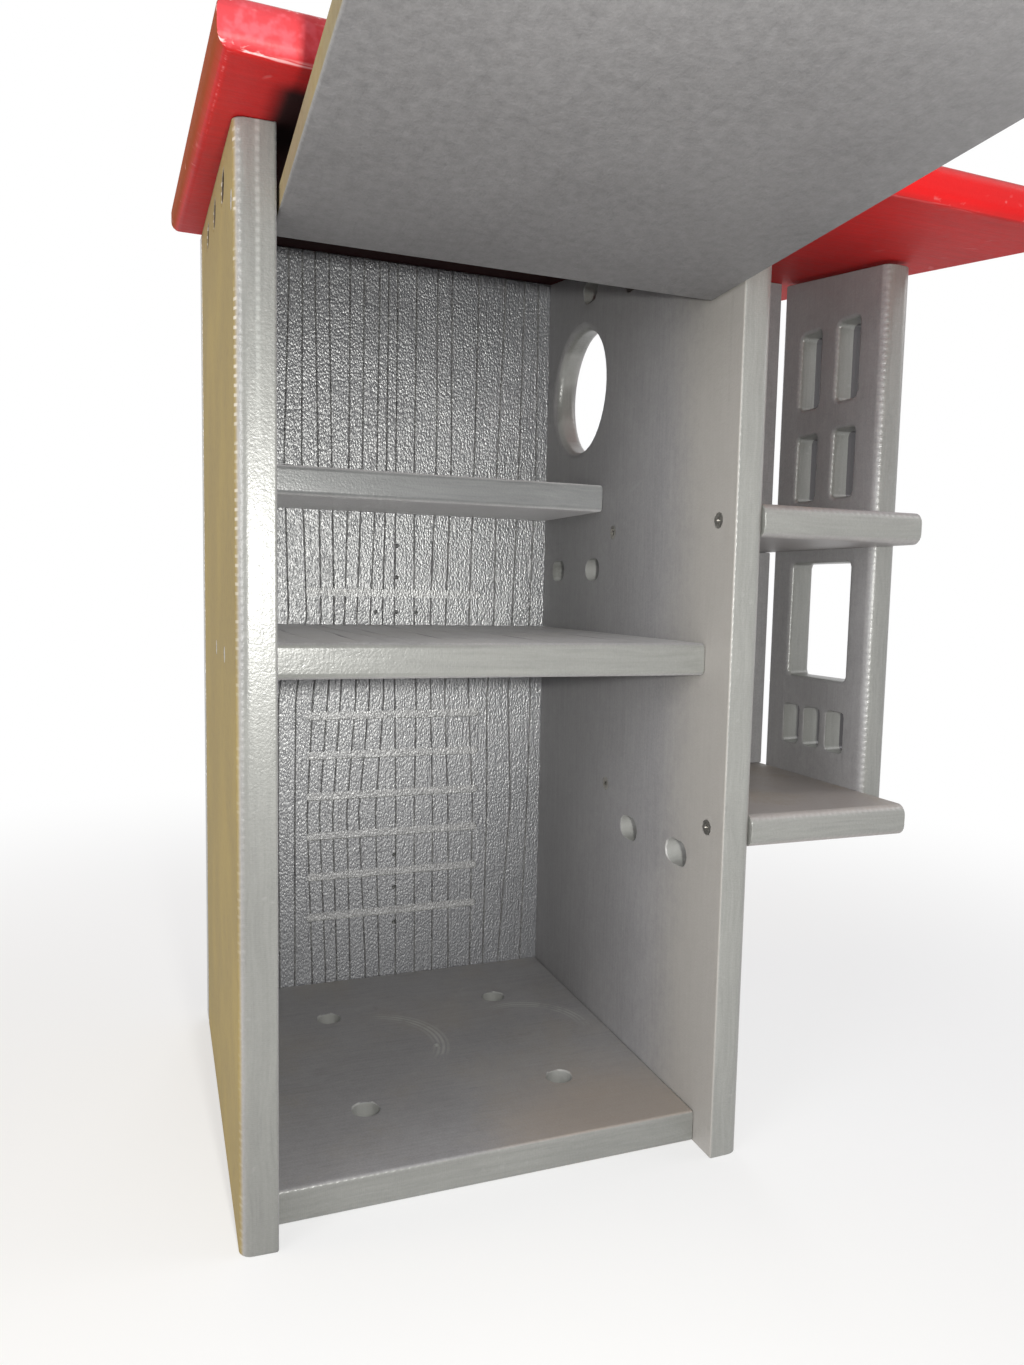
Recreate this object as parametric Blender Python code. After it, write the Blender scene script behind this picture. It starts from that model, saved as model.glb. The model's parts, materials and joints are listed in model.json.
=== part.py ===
"""Squirrel house built of thick solid boards, with a lift-up front door and a side porch.

Metres, Z up. The house front faces -Y and the porch is on the +X side.
The origin is the middle of the area between the side walls' outer faces, on the ground.
"""
import math

import bmesh
import bpy
from mathutils import Matrix, Vector

# Stock
BOARD = 0.019
DOOR_BOARD = 0.0127
GAP = 0.0003
ROUND = 0.00635
REAR_ROUND = 0.005
EASE = 0.0006
ROUND_STEPS = 5
HOLE_EASE = 0.0008

# House body
HOUSE_WIDTH = 0.286
WALL_DEPTH = 0.286
WALL_FRONT_HEIGHT = 0.538
ROOF_SLOPE = math.radians(8.0)
FLOOR_SETBACK = 0.020
LOWER_SHELF_SETBACK = 0.027
UPPER_SHELF_SETBACK = 0.175

# Heights as shares of the side walls' front height
LOWER_SHELF_SHARE = 0.5632
UPPER_SHELF_SHARE = 0.7593
PORCH_FLOOR_SHARE = 0.3801
PORCH_SHELF_SHARE = 0.7128

# Roof, which sits a little askew on the walls; the overhangs are those of its front corners
ROOF_TURN = math.radians(1.28)
ROOF_LEFT_OVERHANG = 0.0114
ROOF_PORCH_OVERHANG = 0.0332
ROOF_FRONT_OVERHANG = 0.0756

# Porch on the right side wall
PORCH_REACH = 0.1115
PORCH_DEPTH = 0.1745
PANEL_SETBACK = 0.0425
PANEL_WIDTH = 0.1115
PANEL_TOP_GAP = 0.0025

# Cut-outs of the porch panel: setback and height of the centre, width, height.
# The heights are shares of the side walls' front height, measured up from the
# porch shelf's top for the panes and from the porch floor's top for the others.
PANES = (
    (0.0788, 0.1979, 0.0212, 0.0955),
    (0.1188, 0.1979, 0.0212, 0.0955),
    (0.0788, 0.0721, 0.0212, 0.0837),
    (0.1188, 0.0721, 0.0212, 0.0837),
)
DOORWAY = ((0.0968, 0.2061, 0.0629, 0.1487),)
LOW_SLOTS = (
    (0.0733, 0.0660, 0.0189, 0.0522),
    (0.0983, 0.0660, 0.0180, 0.0522),
    (0.1217, 0.0660, 0.0185, 0.0522),
)
PANEL_ROUND = 0.0032
PANEL_ROUND_STEPS = 4
PANEL_CUT_CORNER = 0.0032

# Front door and its pivots; it stands open a little above the level
DOOR_SIDE_GAP = 0.0012
DOOR_STOP_GAP = 0.0005
DOOR_GROUND_GAP = 0.002
DOOR_PIVOT_INSET = 0.0195
DOOR_PIVOT_DROP = 0.032
DOOR_RISE = math.radians(2.3)

# Openings of the side walls
ENTRANCE_RADIUS = 0.04445
ENTRANCE_REAR_MARGIN = 0.0112
ENTRANCE_TOP_MARGIN = 0.0363
ENTRANCE_SIDES = 44
VENT_LENGTH = 0.0254
VENT_HEIGHT = 0.0159
TOP_VENT_SETBACKS = (0.070, 0.138, 0.207)
TOP_VENT_DROP = 0.0153
SHELF_VENT_SETBACKS = (0.191, 0.2563)
SHELF_VENT_RISE = 0.0454
LOW_VENT_SETBACKS = (0.0534, 0.1195)
LOW_VENT_SHARE = 0.3178

# Ladder of routed rungs in the back wall, and the holes for hanging the house,
# each with its height as a share of the side walls' front height
RUNG_LENGTH = 0.1395
RUNG_WIDTH = 0.00635
RUNG_DEPTH = 0.003
RUNG_SHARES = (0.6091, 0.4312, 0.3734, 0.3136, 0.2550, 0.1950, 0.1351)
HANG_HOLE_RADIUS = 0.0017
HANG_HOLES = (
    (0.0, 0.6777),
    (0.0, 0.6323),
    (0.0, 0.5818),
    (-0.0165, 0.5818),
    (0.0159, 0.5818),
    (0.0, 0.2197),
    (0.0, 0.1699),
    (0.0, 0.1158),
)

# Grain grooves of the back wall: millimetres from the middle at six heights,
# which are shares of the side walls' front height
GRAIN_WIDTH = 0.0014
GRAIN_DEPTH = 0.0009
GRAIN_SWAY = 0.0025
GRAIN_SHARES = (0.0558, 0.2881, 0.4554, 0.5762, 0.7993, 1.0223)
GRAIN_LINES = (
    (-116.0, -113.5, -115.0, -112.0, -114.0, -112.5),
    (-102.0, -104.5, -103.0, -98.0, -100.5, -99.0),
    (-90.0, -91.0, -90.5, -83.0, -86.0, -82.5),
    (-78.5, -78.4, -77.6, -69.5, -73.2, -72.6),
    (-65.1, -69.1, -64.8, -58.5, -61.1, -63.3),
    (-54.7, -59.7, -53.6, -48.7, -50.9, -53.0),
    (-45.8, -49.4, -43.6, -40.6, -37.8, -37.4),
    (-35.2, -38.3, -31.7, -31.1, -27.4, -26.8),
    (-22.9, -28.9, -21.0, -20.6, -16.2, -15.0),
    (-11.8, -15.5, -9.5, -11.0, -8.8, -8.0),
    (1.7, 1.0, -0.7, -1.6, -1.4, -1.0),
    (17.6, 16.1, 16.8, 14.3, 13.2, 13.9),
    (32.3, 31.4, 28.5, 27.5, 30.8, 30.5),
    (46.3, 44.4, 40.4, 40.2, 43.1, 42.2),
    (65.0, 65.4, 60.3, 59.9, 62.2, 63.7),
    (76.7, 77.8, 76.1, 81.2, 81.3, 85.6),
    (90.4, 98.6, 94.8, 97.0, 100.0, 102.0),
    (110.0, 113.5, 114.5, 112.0, 115.0, 114.0),
)
SHELF_GRAIN_LINES = 14

# Floor drainage
DRAIN_RADIUS = 0.0084
DRAIN_SPREAD = 0.063
DRAIN_SETBACKS = (0.0865, 0.219)
CENTRE_HOLE_RADIUS = 0.0025
CENTRE_HOLE_SETBACK = 0.153

# Places of the screws, as setbacks from the front unless named otherwise
SHELF_SCREWS = (("front", 0.080), ("rear", 0.150))
PORCH_SCREWS = (("front", 0.0185), ("rear", 0.157))
PANEL_SCREWS = (("front", 0.062), ("rear", 0.130))
ROOF_SCREWS = (("front", 0.028), ("rear", 0.235))
PORCH_BACK_SHARES = (("inner", 0.305), ("outer", 0.753))
BACK_SCREW_LOW = 0.060
BACK_SCREW_ROOF_DROP = 0.024
BACK_SCREW_SPREAD = 0.060

# Countersunk screws
SCREW_LENGTH = 0.042
SCREW_HEAD_RADIUS = 0.0046
SCREW_SHANK_RADIUS = 0.0021
SCREW_TIP_RADIUS = 0.0008
SCREW_TIP = 0.005
SCREW_CONE = 0.0032
SCREW_SINK = 0.0003
SCREW_SIDES = 10
RECESS_REACH = 0.0027
RECESS_HALF_WIDTH = 0.00055
RECESS_DEPTH = 0.0016
OVERCUT = 0.002

LOWER_SHELF_TOP = LOWER_SHELF_SHARE * WALL_FRONT_HEIGHT
UPPER_SHELF_TOP = UPPER_SHELF_SHARE * WALL_FRONT_HEIGHT
PORCH_FLOOR_TOP = PORCH_FLOOR_SHARE * WALL_FRONT_HEIGHT
PORCH_SHELF_TOP = PORCH_SHELF_SHARE * WALL_FRONT_HEIGHT
LOW_VENT_HEIGHT = LOW_VENT_SHARE * WALL_FRONT_HEIGHT
HALF_WIDTH = HOUSE_WIDTH / 2
INNER_HALF = HALF_WIDTH - BOARD
FRONT_Y = -WALL_DEPTH / 2
BACK_Y = WALL_DEPTH / 2
REAR_Y = BACK_Y + GAP + BOARD
PORCH_END_X = HALF_WIDTH + GAP + PORCH_REACH
PANEL_OUT_X = PORCH_END_X + GAP + BOARD
PORCH_REAR_Y = FRONT_Y + PORCH_DEPTH
PIVOT_Y = FRONT_Y + FLOOR_SETBACK - DOOR_STOP_GAP - DOOR_BOARD / 2
PIVOT_Z = WALL_FRONT_HEIGHT - DOOR_PIVOT_DROP
DOOR_DROP = PIVOT_Z - DOOR_GROUND_GAP
ENTRANCE_Y = BACK_Y - ENTRANCE_REAR_MARGIN - ROUND - ENTRANCE_RADIUS

GREY_FINISH = ((0.200, 0.202, 0.196), 0.55, 0.0)
RED_FINISH = ((0.420, 0.012, 0.024), 0.42, 0.0)
STEEL_FINISH = ((0.560, 0.560, 0.540), 0.35, 1.0)

ROOF_UP = Vector((0.0, -math.sin(ROOF_SLOPE), math.cos(ROOF_SLOPE)))
AXIS_X = Vector((1.0, 0.0, 0.0))
AXIS_Y = Vector((0.0, 1.0, 0.0))
AXIS_Z = Vector((0.0, 0.0, 1.0))


def clear_scene():
    """Remove whatever the start-up scene holds."""
    for obj in list(bpy.data.objects):
        bpy.data.objects.remove(obj, do_unlink=True)


def make_material(name, finish):
    """Return a plain Principled material from a colour, a roughness and a metallic value."""
    colour, roughness, metallic = finish
    material = bpy.data.materials.new(name)
    material.use_nodes = True
    shader = material.node_tree.nodes["Principled BSDF"]
    shader.inputs["Base Color"].default_value = (*colour, 1.0)
    shader.inputs["Roughness"].default_value = roughness
    shader.inputs["Metallic"].default_value = metallic
    return material


def roof_height(y):
    """Height of the roof board's underside at a place along the depth."""
    return WALL_FRONT_HEIGHT + math.tan(ROOF_SLOPE) * (y - FRONT_Y)


def finish_object(name, bm, finish=None, origin=None):
    """Turn a bmesh into a linked object with its own material and the given origin."""
    bmesh.ops.recalc_face_normals(bm, faces=bm.faces)
    if origin is not None:
        bmesh.ops.translate(bm, vec=-origin, verts=bm.verts)
    mesh = bpy.data.meshes.new(name)
    bm.to_mesh(mesh)
    bm.free()
    if finish is not None:
        mesh.materials.append(make_material(name, finish))
    obj = bpy.data.objects.new(name, mesh)
    if origin is not None:
        obj.location = origin
    bpy.context.collection.objects.link(obj)
    return obj


def box_bmesh(low, high):
    """Return a bmesh of a plain box between two corners."""
    bm = bmesh.new()
    bmesh.ops.create_cube(bm, size=1.0)
    size = Vector(high) - Vector(low)
    middle = (Vector(high) + Vector(low)) / 2
    bmesh.ops.scale(bm, vec=size, verts=bm.verts)
    bmesh.ops.translate(bm, vec=middle, verts=bm.verts)
    return bm


def trim_to_roof(bm, clearance):
    """Cut a box off along the roof board's underside, less a clearance."""
    point = Vector((0.0, FRONT_Y, WALL_FRONT_HEIGHT)) - ROOF_UP * clearance
    geometry = bm.verts[:] + bm.edges[:] + bm.faces[:]
    cut = bmesh.ops.bisect_plane(
        bm, geom=geometry, dist=1e-7, plane_co=point, plane_no=ROOF_UP, clear_outer=True
    )
    rim = [item for item in cut["geom_cut"] if isinstance(item, bmesh.types.BMEdge)]
    bmesh.ops.contextual_create(bm, geom=rim)


def edges_between(bm, first, second):
    """Return the edges lying in both of two planes, each given as (axis number, value)."""
    def inside(vertex):
        on_first = abs(vertex.co[first[0]] - first[1]) < 1e-6
        on_second = abs(vertex.co[second[0]] - second[1]) < 1e-6
        return on_first and on_second
    return [edge for edge in bm.edges if all(inside(vertex) for vertex in edge.verts)]


def round_edges(bm, edges, radius):
    """Round the given edges with an arc."""
    bmesh.ops.bevel(
        bm, geom=edges, offset=radius, segments=ROUND_STEPS, profile=0.5, affect="EDGES"
    )


def ease_edges(bm, width=EASE):
    """Take the sharpness off every edge that is still square."""
    sharp = [edge for edge in bm.edges if edge.calc_face_angle(0.0) > math.radians(40.0)]
    bmesh.ops.bevel(bm, geom=sharp, offset=width, segments=1, profile=0.5, affect="EDGES")


def rounded_outline(width, height, corner, steps, grow=0.0):
    """Return the points of a rounded rectangle, anticlockwise, grown by an offset."""
    points = []
    radius = corner + grow
    for quarter, (side_u, side_v) in enumerate(((1, 1), (-1, 1), (-1, -1), (1, -1))):
        centre_u = side_u * (width / 2 - corner)
        centre_v = side_v * (height / 2 - corner)
        for step in range(steps + 1):
            angle = math.pi / 2 * (quarter + step / steps)
            point = Vector((centre_u + radius * math.cos(angle), centre_v + radius * math.sin(angle)))
            if not points or (point - points[-1]).length > 1e-7:
                points.append(point)
    if (points[0] - points[-1]).length < 1e-7:
        points.pop()
    return points


def circle_outline(radius, sides):
    """Return the points of a circle, anticlockwise."""
    turn = 2 * math.pi / sides
    return [Vector((radius * math.cos(turn * i), radius * math.sin(turn * i))) for i in range(sides)]


def add_stack(bm, origin, u_axis, v_axis, levels):
    """Add a closed body through outlines stacked along the third axis."""
    w_axis = u_axis.cross(v_axis)
    rings = []
    for depth, outline in levels:
        centre = origin + w_axis * depth
        ring = [bm.verts.new(centre + u_axis * p.x + v_axis * p.y) for p in outline]
        rings.append(ring)
    count = len(rings[0])
    for lower, upper in zip(rings, rings[1:]):
        for i in range(count):
            j = (i + 1) % count
            bm.faces.new((lower[i], lower[j], upper[j], upper[i]))
    bm.faces.new(rings[0][::-1])
    bm.faces.new(rings[-1])


def across(direction):
    """Return two axes square to a direction, so that their cross product is the direction."""
    side = AXIS_X if abs(direction.x) < 0.5 else AXIS_Z
    u_axis = side - direction * side.dot(direction)
    u_axis.normalize()
    return u_axis, direction.cross(u_axis)


def add_eased_hole(bm, origin, u_axis, v_axis, outline, thickness):
    """Add a cutter for a hole through a board, its rims eased on both faces.

    The origin lies on the near face; outline is a function of the growth of the hole.
    """
    wide = outline(HOLE_EASE + OVERCUT)
    plain = outline(0.0)
    levels = (
        (-OVERCUT, wide),
        (HOLE_EASE, plain),
        (thickness - HOLE_EASE, plain),
        (thickness + OVERCUT, wide),
    )
    add_stack(bm, origin, u_axis, v_axis, levels)


def add_rounded_hole(bm, origin, outline, radius, steps):
    """Add a cutter for a hole along X whose rims are rounded over on both faces of a board."""
    near = [(-OVERCUT, radius)]
    for step in range(steps):
        angle = math.pi / 2 * step / (steps - 1)
        near.append((radius * (1 - math.cos(angle)), radius * (1 - math.sin(angle))))
    far = [(BOARD - depth, grow) for depth, grow in reversed(near)]
    levels = [(depth, outline(grow)) for depth, grow in near + far]
    add_stack(bm, origin, AXIS_Y, AXIS_Z, levels)


def screw_levels(clearance):
    """Return depth and radius of a screw's turned outline, grown by a clearance."""
    return (
        (SCREW_SINK, SCREW_HEAD_RADIUS + clearance),
        (SCREW_SINK + SCREW_CONE, SCREW_SHANK_RADIUS + clearance),
        (SCREW_LENGTH - SCREW_TIP, SCREW_SHANK_RADIUS + clearance),
        (SCREW_LENGTH + clearance, SCREW_TIP_RADIUS + clearance),
    )


def add_screw_hole(bm, head, direction):
    """Add a cutter for the countersink and the hole of one screw."""
    u_axis, v_axis = across(direction)
    levels = list(screw_levels(GAP))
    levels.insert(0, (-OVERCUT, SCREW_HEAD_RADIUS + GAP))
    stack = [(depth, circle_outline(radius, SCREW_SIDES)) for depth, radius in levels]
    add_stack(bm, head, u_axis, v_axis, stack)


def cross_outline(scale):
    """Return the outline of the cross recess, anticlockwise."""
    reach = RECESS_REACH * scale
    half = RECESS_HALF_WIDTH * scale
    quarter = [Vector((reach, -half)), Vector((reach, half)), Vector((half, half))]
    points = []
    for turn in range(4):
        spin = Matrix.Rotation(math.pi / 2 * turn, 2)
        points.extend(spin @ point for point in quarter)
    return points


def screw_mesh(material):
    """Return the mesh of one countersunk screw, driven along its own +Z."""
    bm = bmesh.new()
    rings = []
    for depth, radius in screw_levels(0.0):
        outline = circle_outline(radius, SCREW_SIDES)
        rings.append([bm.verts.new((p.x, p.y, depth)) for p in outline])
    for lower, upper in zip(rings, rings[1:]):
        for i in range(SCREW_SIDES):
            j = (i + 1) % SCREW_SIDES
            bm.faces.new((lower[i], lower[j], upper[j], upper[i]))
    bm.faces.new(rings[-1])
    mouth = [bm.verts.new((p.x, p.y, SCREW_SINK)) for p in cross_outline(1.0)]
    bottom = [bm.verts.new((p.x, p.y, SCREW_SINK + RECESS_DEPTH)) for p in cross_outline(0.6)]
    for i in range(len(mouth)):
        j = (i + 1) % len(mouth)
        bm.faces.new((mouth[j], mouth[i], bottom[i], bottom[j]))
    bm.faces.new(bottom)
    open_edges = [edge for edge in bm.edges if edge.is_boundary]
    bmesh.ops.triangle_fill(bm, edges=open_edges, use_beauty=True, use_dissolve=False)
    bmesh.ops.recalc_face_normals(bm, faces=bm.faces)
    mesh = bpy.data.meshes.new("screw")
    bm.to_mesh(mesh)
    bm.free()
    mesh.materials.append(material)
    return mesh


def screw_table():
    """Return name, head point, driving direction and boards crossed, for every screw."""
    table = []
    for side, sign in (("left", -1), ("right", 1)):
        wall = side + "_side_wall"
        for end, setback in SHELF_SCREWS:
            head = Vector((sign * HALF_WIDTH, FRONT_Y + setback, LOWER_SHELF_TOP - BOARD / 2))
            name = "lower_shelf_screw_" + side + "_" + end
            table.append((name, head, -sign * AXIS_X, (wall, "lower_shelf")))
        head = Vector((sign * HALF_WIDTH, PIVOT_Y, PIVOT_Z))
        table.append(("door_pivot_screw_" + side, head, -sign * AXIS_X, (wall, "front_door")))
    for board, top in (("porch_floor", PORCH_FLOOR_TOP), ("porch_shelf", PORCH_SHELF_TOP)):
        for end, setback in PORCH_SCREWS:
            head = Vector((INNER_HALF, FRONT_Y + setback, top - BOARD / 2))
            table.append((board + "_screw_" + end, head, AXIS_X, ("right_side_wall", board)))
        for end, setback in PANEL_SCREWS:
            head = Vector((PANEL_OUT_X, FRONT_Y + setback, top - BOARD / 2))
            name = "panel_screw_" + board[6:] + "_" + end
            table.append((name, head, -AXIS_X, ("porch_panel", board)))
    for side, share in PORCH_BACK_SHARES:
        reach = share * PORCH_REACH
        head = Vector((HALF_WIDTH + reach, PORCH_REAR_Y - BOARD / 2, PORCH_FLOOR_TOP - BOARD))
        table.append(("porch_back_screw_" + side, head, AXIS_Z, ("porch_floor", "porch_back_lower")))
    return table + roof_screws() + back_screws()


def roof_screws():
    """Screws driven square through the roof board into the walls below it."""
    spots = []
    for side, sign in (("left", -1), ("right", 1)):
        x = sign * (HALF_WIDTH - BOARD / 2)
        for end, setback in ROOF_SCREWS:
            spots.append((side + "_" + end, x, FRONT_Y + setback, side + "_side_wall"))
    lean = math.sin(ROOF_SLOPE) * (SCREW_LENGTH - BOARD) / 2
    for side, share in PORCH_BACK_SHARES:
        x = HALF_WIDTH + share * PORCH_REACH
        y = PORCH_REAR_Y - BOARD / 2 - lean
        spots.append(("porch_" + side, x, y, "porch_back_upper"))
    table = []
    for name, x, y, board in spots:
        head = Vector((x, y, roof_height(y))) + ROOF_UP * BOARD
        table.append(("roof_screw_" + name, head, -ROOF_UP, ("roof_board", board)))
    return table


def back_screws():
    """Screws driven from behind through the back wall."""
    spots = []
    for side, sign in (("left", -1), ("right", 1)):
        x = sign * (HALF_WIDTH - BOARD / 2)
        wall = side + "_side_wall"
        spots.append(("wall_low_" + side, x, BACK_SCREW_LOW, wall))
        spots.append(("wall_high_" + side, x, roof_height(BACK_Y) - BACK_SCREW_ROOF_DROP, wall))
        inner = sign * BACK_SCREW_SPREAD
        spots.append(("floor_" + side, inner, BOARD / 2, "floor_board"))
        spots.append(("lower_shelf_" + side, inner, LOWER_SHELF_TOP - BOARD / 2, "lower_shelf"))
        spots.append(("upper_shelf_" + side, inner, UPPER_SHELF_TOP - BOARD / 2, "upper_shelf"))
    table = []
    for name, x, z, board in spots:
        table.append(("back_screw_" + name, Vector((x, REAR_Y, z)), -AXIS_Y, ("back_wall", board)))
    return table


def place_screws(table):
    """Make one screw object for each line of the table."""
    mesh = screw_mesh(make_material("screw_steel", STEEL_FINISH))
    for name, head, direction, _ in table:
        obj = bpy.data.objects.new(name, mesh)
        u_axis, v_axis = across(direction)
        turn = Matrix((u_axis, v_axis, direction)).transposed()
        obj.matrix_world = Matrix.Translation(head) @ turn.to_4x4()
        bpy.context.collection.objects.link(obj)


def cut_board(board, table, add_extra=None):
    """Cut a board's screw holes, and its own openings, with one hidden cutter."""
    bm = bmesh.new()
    for name, head, direction, boards in table:
        if board.name in boards:
            add_screw_hole(bm, head, direction)
    if add_extra is not None:
        add_extra(bm)
    if not bm.faces:
        bm.free()
        return
    subtract(board, finish_object("cut_" + board.name, bm))


def subtract(board, cutter):
    """Subtract a hidden cutter from a board."""
    cutter.hide_render = True
    cutter.display_type = "WIRE"
    boolean = board.modifiers.new(cutter.name, "BOOLEAN")
    boolean.operation = "DIFFERENCE"
    boolean.solver = "EXACT"
    boolean.object = cutter


def vent_outline(grow):
    """Outline of a vent slot: a lying slot with round ends."""
    return rounded_outline(VENT_LENGTH, VENT_HEIGHT, VENT_HEIGHT / 2, 3, grow)


def add_entrance(bm):
    """Add the round entrance of the right side wall."""
    height = roof_height(ENTRANCE_Y) - ENTRANCE_TOP_MARGIN - ROUND - ENTRANCE_RADIUS
    def outline(grow):
        return circle_outline(ENTRANCE_RADIUS + grow, ENTRANCE_SIDES)
    origin = Vector((INNER_HALF, ENTRANCE_Y, height))
    add_rounded_hole(bm, origin, outline, ROUND, ROUND_STEPS)


def add_top_vents(bm, x):
    """Add the row of vents under the roof to a side wall whose near face is at x."""
    for setback in TOP_VENT_SETBACKS:
        y = FRONT_Y + setback
        origin = Vector((x, y, roof_height(y) - TOP_VENT_DROP))
        add_eased_hole(bm, origin, AXIS_Y, AXIS_Z, vent_outline, BOARD)


def add_right_openings(bm):
    """Add the entrance and all vents of the right side wall."""
    add_top_vents(bm, INNER_HALF)
    spots = [(setback, LOWER_SHELF_TOP + SHELF_VENT_RISE) for setback in SHELF_VENT_SETBACKS]
    spots += [(setback, LOW_VENT_HEIGHT) for setback in LOW_VENT_SETBACKS]
    for setback, height in spots:
        origin = Vector((INNER_HALF, FRONT_Y + setback, height))
        add_eased_hole(bm, origin, AXIS_Y, AXIS_Z, vent_outline, BOARD)
    add_entrance(bm)


def make_side_wall(name, x_low):
    """Make one side wall, its top following the roof."""
    bm = box_bmesh((x_low, FRONT_Y, 0.0), (x_low + BOARD, BACK_Y, roof_height(BACK_Y) + BOARD))
    trim_to_roof(bm, GAP)
    for x in (x_low, x_low + BOARD):
        round_edges(bm, edges_between(bm, (0, x), (1, FRONT_Y)), ROUND)
    outer_x = x_low if x_low < 0 else x_low + BOARD
    round_edges(bm, edges_between(bm, (0, outer_x), (1, BACK_Y)), REAR_ROUND)
    ease_edges(bm)
    return finish_object(name, bm, GREY_FINISH)


def make_back_wall():
    """Make the back wall that covers the rear edges of the side walls."""
    top = roof_height(REAR_Y) + BOARD
    bm = box_bmesh((-HALF_WIDTH, BACK_Y + GAP, 0.0), (HALF_WIDTH, REAR_Y, top))
    trim_to_roof(bm, GAP)
    ease_edges(bm)
    return finish_object("back_wall", bm, GREY_FINISH)


def add_back_openings(bm):
    """Add the ladder rungs and the hanging holes of the back wall."""
    face_y = BACK_Y + GAP
    for share in RUNG_SHARES:
        height = share * WALL_FRONT_HEIGHT
        outline = rounded_outline(RUNG_LENGTH, RUNG_WIDTH, RUNG_WIDTH / 2, 4)
        levels = ((-OVERCUT, outline), (RUNG_DEPTH, outline))
        add_stack(bm, Vector((0.0, face_y, height)), -AXIS_X, AXIS_Z, levels)
    for x, share in HANG_HOLES:
        height = share * WALL_FRONT_HEIGHT
        outline = circle_outline(HANG_HOLE_RADIUS, 10)
        levels = ((-OVERCUT, outline), (BOARD + OVERCUT, outline))
        add_stack(bm, Vector((x, face_y, height)), -AXIS_X, AXIS_Z, levels)


def add_groove(bm, points, outward, sideways):
    """Add a cutter for a V groove along points that lie on a face."""
    sections = []
    for point in points:
        top = point + outward * OVERCUT
        spread = sideways * GRAIN_WIDTH * (0.5 + OVERCUT * 0.5 / GRAIN_DEPTH)
        corners = (top - spread, top + spread, point - outward * GRAIN_DEPTH)
        sections.append([bm.verts.new(corner) for corner in corners])
    for lower, upper in zip(sections, sections[1:]):
        for i in range(3):
            j = (i + 1) % 3
            bm.faces.new((lower[i], lower[j], upper[j], upper[i]))
    bm.faces.new(sections[0][::-1])
    bm.faces.new(sections[-1])


def groove_back_wall(wall):
    """Cut the wandering grain grooves into the back wall's inner face."""
    bm = bmesh.new()
    face_y = BACK_Y + GAP
    heights = [-OVERCUT]
    heights += [share * WALL_FRONT_HEIGHT for share in GRAIN_SHARES]
    heights.append(roof_height(BACK_Y) + BOARD)
    for line in GRAIN_LINES:
        places = (line[0],) + line + (line[-1],)
        points = [Vector((x / 1000, face_y, z)) for x, z in zip(places, heights)]
        add_groove(bm, points, -AXIS_Y, AXIS_X)
    subtract(wall, finish_object("cut_back_wall_grain", bm))


def groove_lower_shelf(shelf):
    """Cut grain grooves that run from front to back into the lower shelf's top."""
    bm = bmesh.new()
    pitch = 2 * INNER_HALF / SHELF_GRAIN_LINES
    front = FRONT_Y + LOWER_SHELF_SETBACK
    for number in range(SHELF_GRAIN_LINES):
        x = -INNER_HALF + pitch * (number + 0.5 + 0.22 * math.sin(4.1 * number))
        points = []
        for step in range(5):
            y = front + ROUND + (BACK_Y - front) * step / 4
            sway = GRAIN_SWAY * math.sin(2.1 * number + 1.5 * step)
            points.append(Vector((x + sway, y, LOWER_SHELF_TOP)))
        add_groove(bm, points, AXIS_Z, AXIS_X)
    subtract(shelf, finish_object("cut_lower_shelf_grain", bm))


def make_level_board(name, low, high):
    """Make a floor or shelf with its front edges rounded."""
    bm = box_bmesh(low, high)
    for z in (low[2], high[2]):
        round_edges(bm, edges_between(bm, (1, low[1]), (2, z)), ROUND)
    ease_edges(bm)
    return finish_object(name, bm, GREY_FINISH)


def make_inner_shelf(name, setback, top):
    """Make a board that fits between the side walls and ends at the back wall."""
    front = FRONT_Y + setback
    low = (-INNER_HALF + GAP, front, top - BOARD)
    high = (INNER_HALF - GAP, BACK_Y, top)
    return make_level_board(name, low, high)


def add_drain_holes(bm):
    """Add the drain holes and the small centre hole of the floor."""
    for setback in DRAIN_SETBACKS:
        for x in (-DRAIN_SPREAD, DRAIN_SPREAD):
            origin = Vector((x, FRONT_Y + setback, 0.0))
            add_eased_hole(bm, origin, AXIS_X, AXIS_Y, drain_outline, BOARD)
    outline = circle_outline(CENTRE_HOLE_RADIUS, 12)
    origin = Vector((0.0, FRONT_Y + CENTRE_HOLE_SETBACK, 0.0))
    add_stack(bm, origin, AXIS_X, AXIS_Y, ((-OVERCUT, outline), (BOARD + OVERCUT, outline)))


def drain_outline(grow):
    """Outline of a drain hole."""
    return circle_outline(DRAIN_RADIUS + grow, 20)


def make_porch_board(name, top):
    """Make the porch floor or the porch shelf."""
    low = (HALF_WIDTH + GAP, FRONT_Y, top - BOARD)
    high = (PORCH_END_X, PORCH_REAR_Y, top)
    return make_level_board(name, low, high)


def make_porch_back(name, z_low, z_high=None):
    """Make one board closing the rear of the porch; with no upper height it meets the roof."""
    top = roof_height(PORCH_REAR_Y) + BOARD if z_high is None else z_high
    low = (HALF_WIDTH + GAP, PORCH_REAR_Y - BOARD, z_low)
    bm = box_bmesh(low, (PORCH_END_X, PORCH_REAR_Y, top))
    if z_high is None:
        trim_to_roof(bm, GAP)
    ease_edges(bm)
    return finish_object(name, bm, GREY_FINISH)


def make_porch_panel():
    """Make the upright panel with window and door cut-outs."""
    near = FRONT_Y + PANEL_SETBACK
    far = near + PANEL_WIDTH
    low = (PORCH_END_X + GAP, near, PORCH_FLOOR_TOP - BOARD)
    bm = box_bmesh(low, (PANEL_OUT_X, far, roof_height(far) + BOARD))
    trim_to_roof(bm, PANEL_TOP_GAP)
    for x in (low[0], PANEL_OUT_X):
        for y in (near, far):
            round_edges(bm, edges_between(bm, (0, x), (1, y)), ROUND)
    ease_edges(bm)
    return finish_object("porch_panel", bm, GREY_FINISH)


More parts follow.
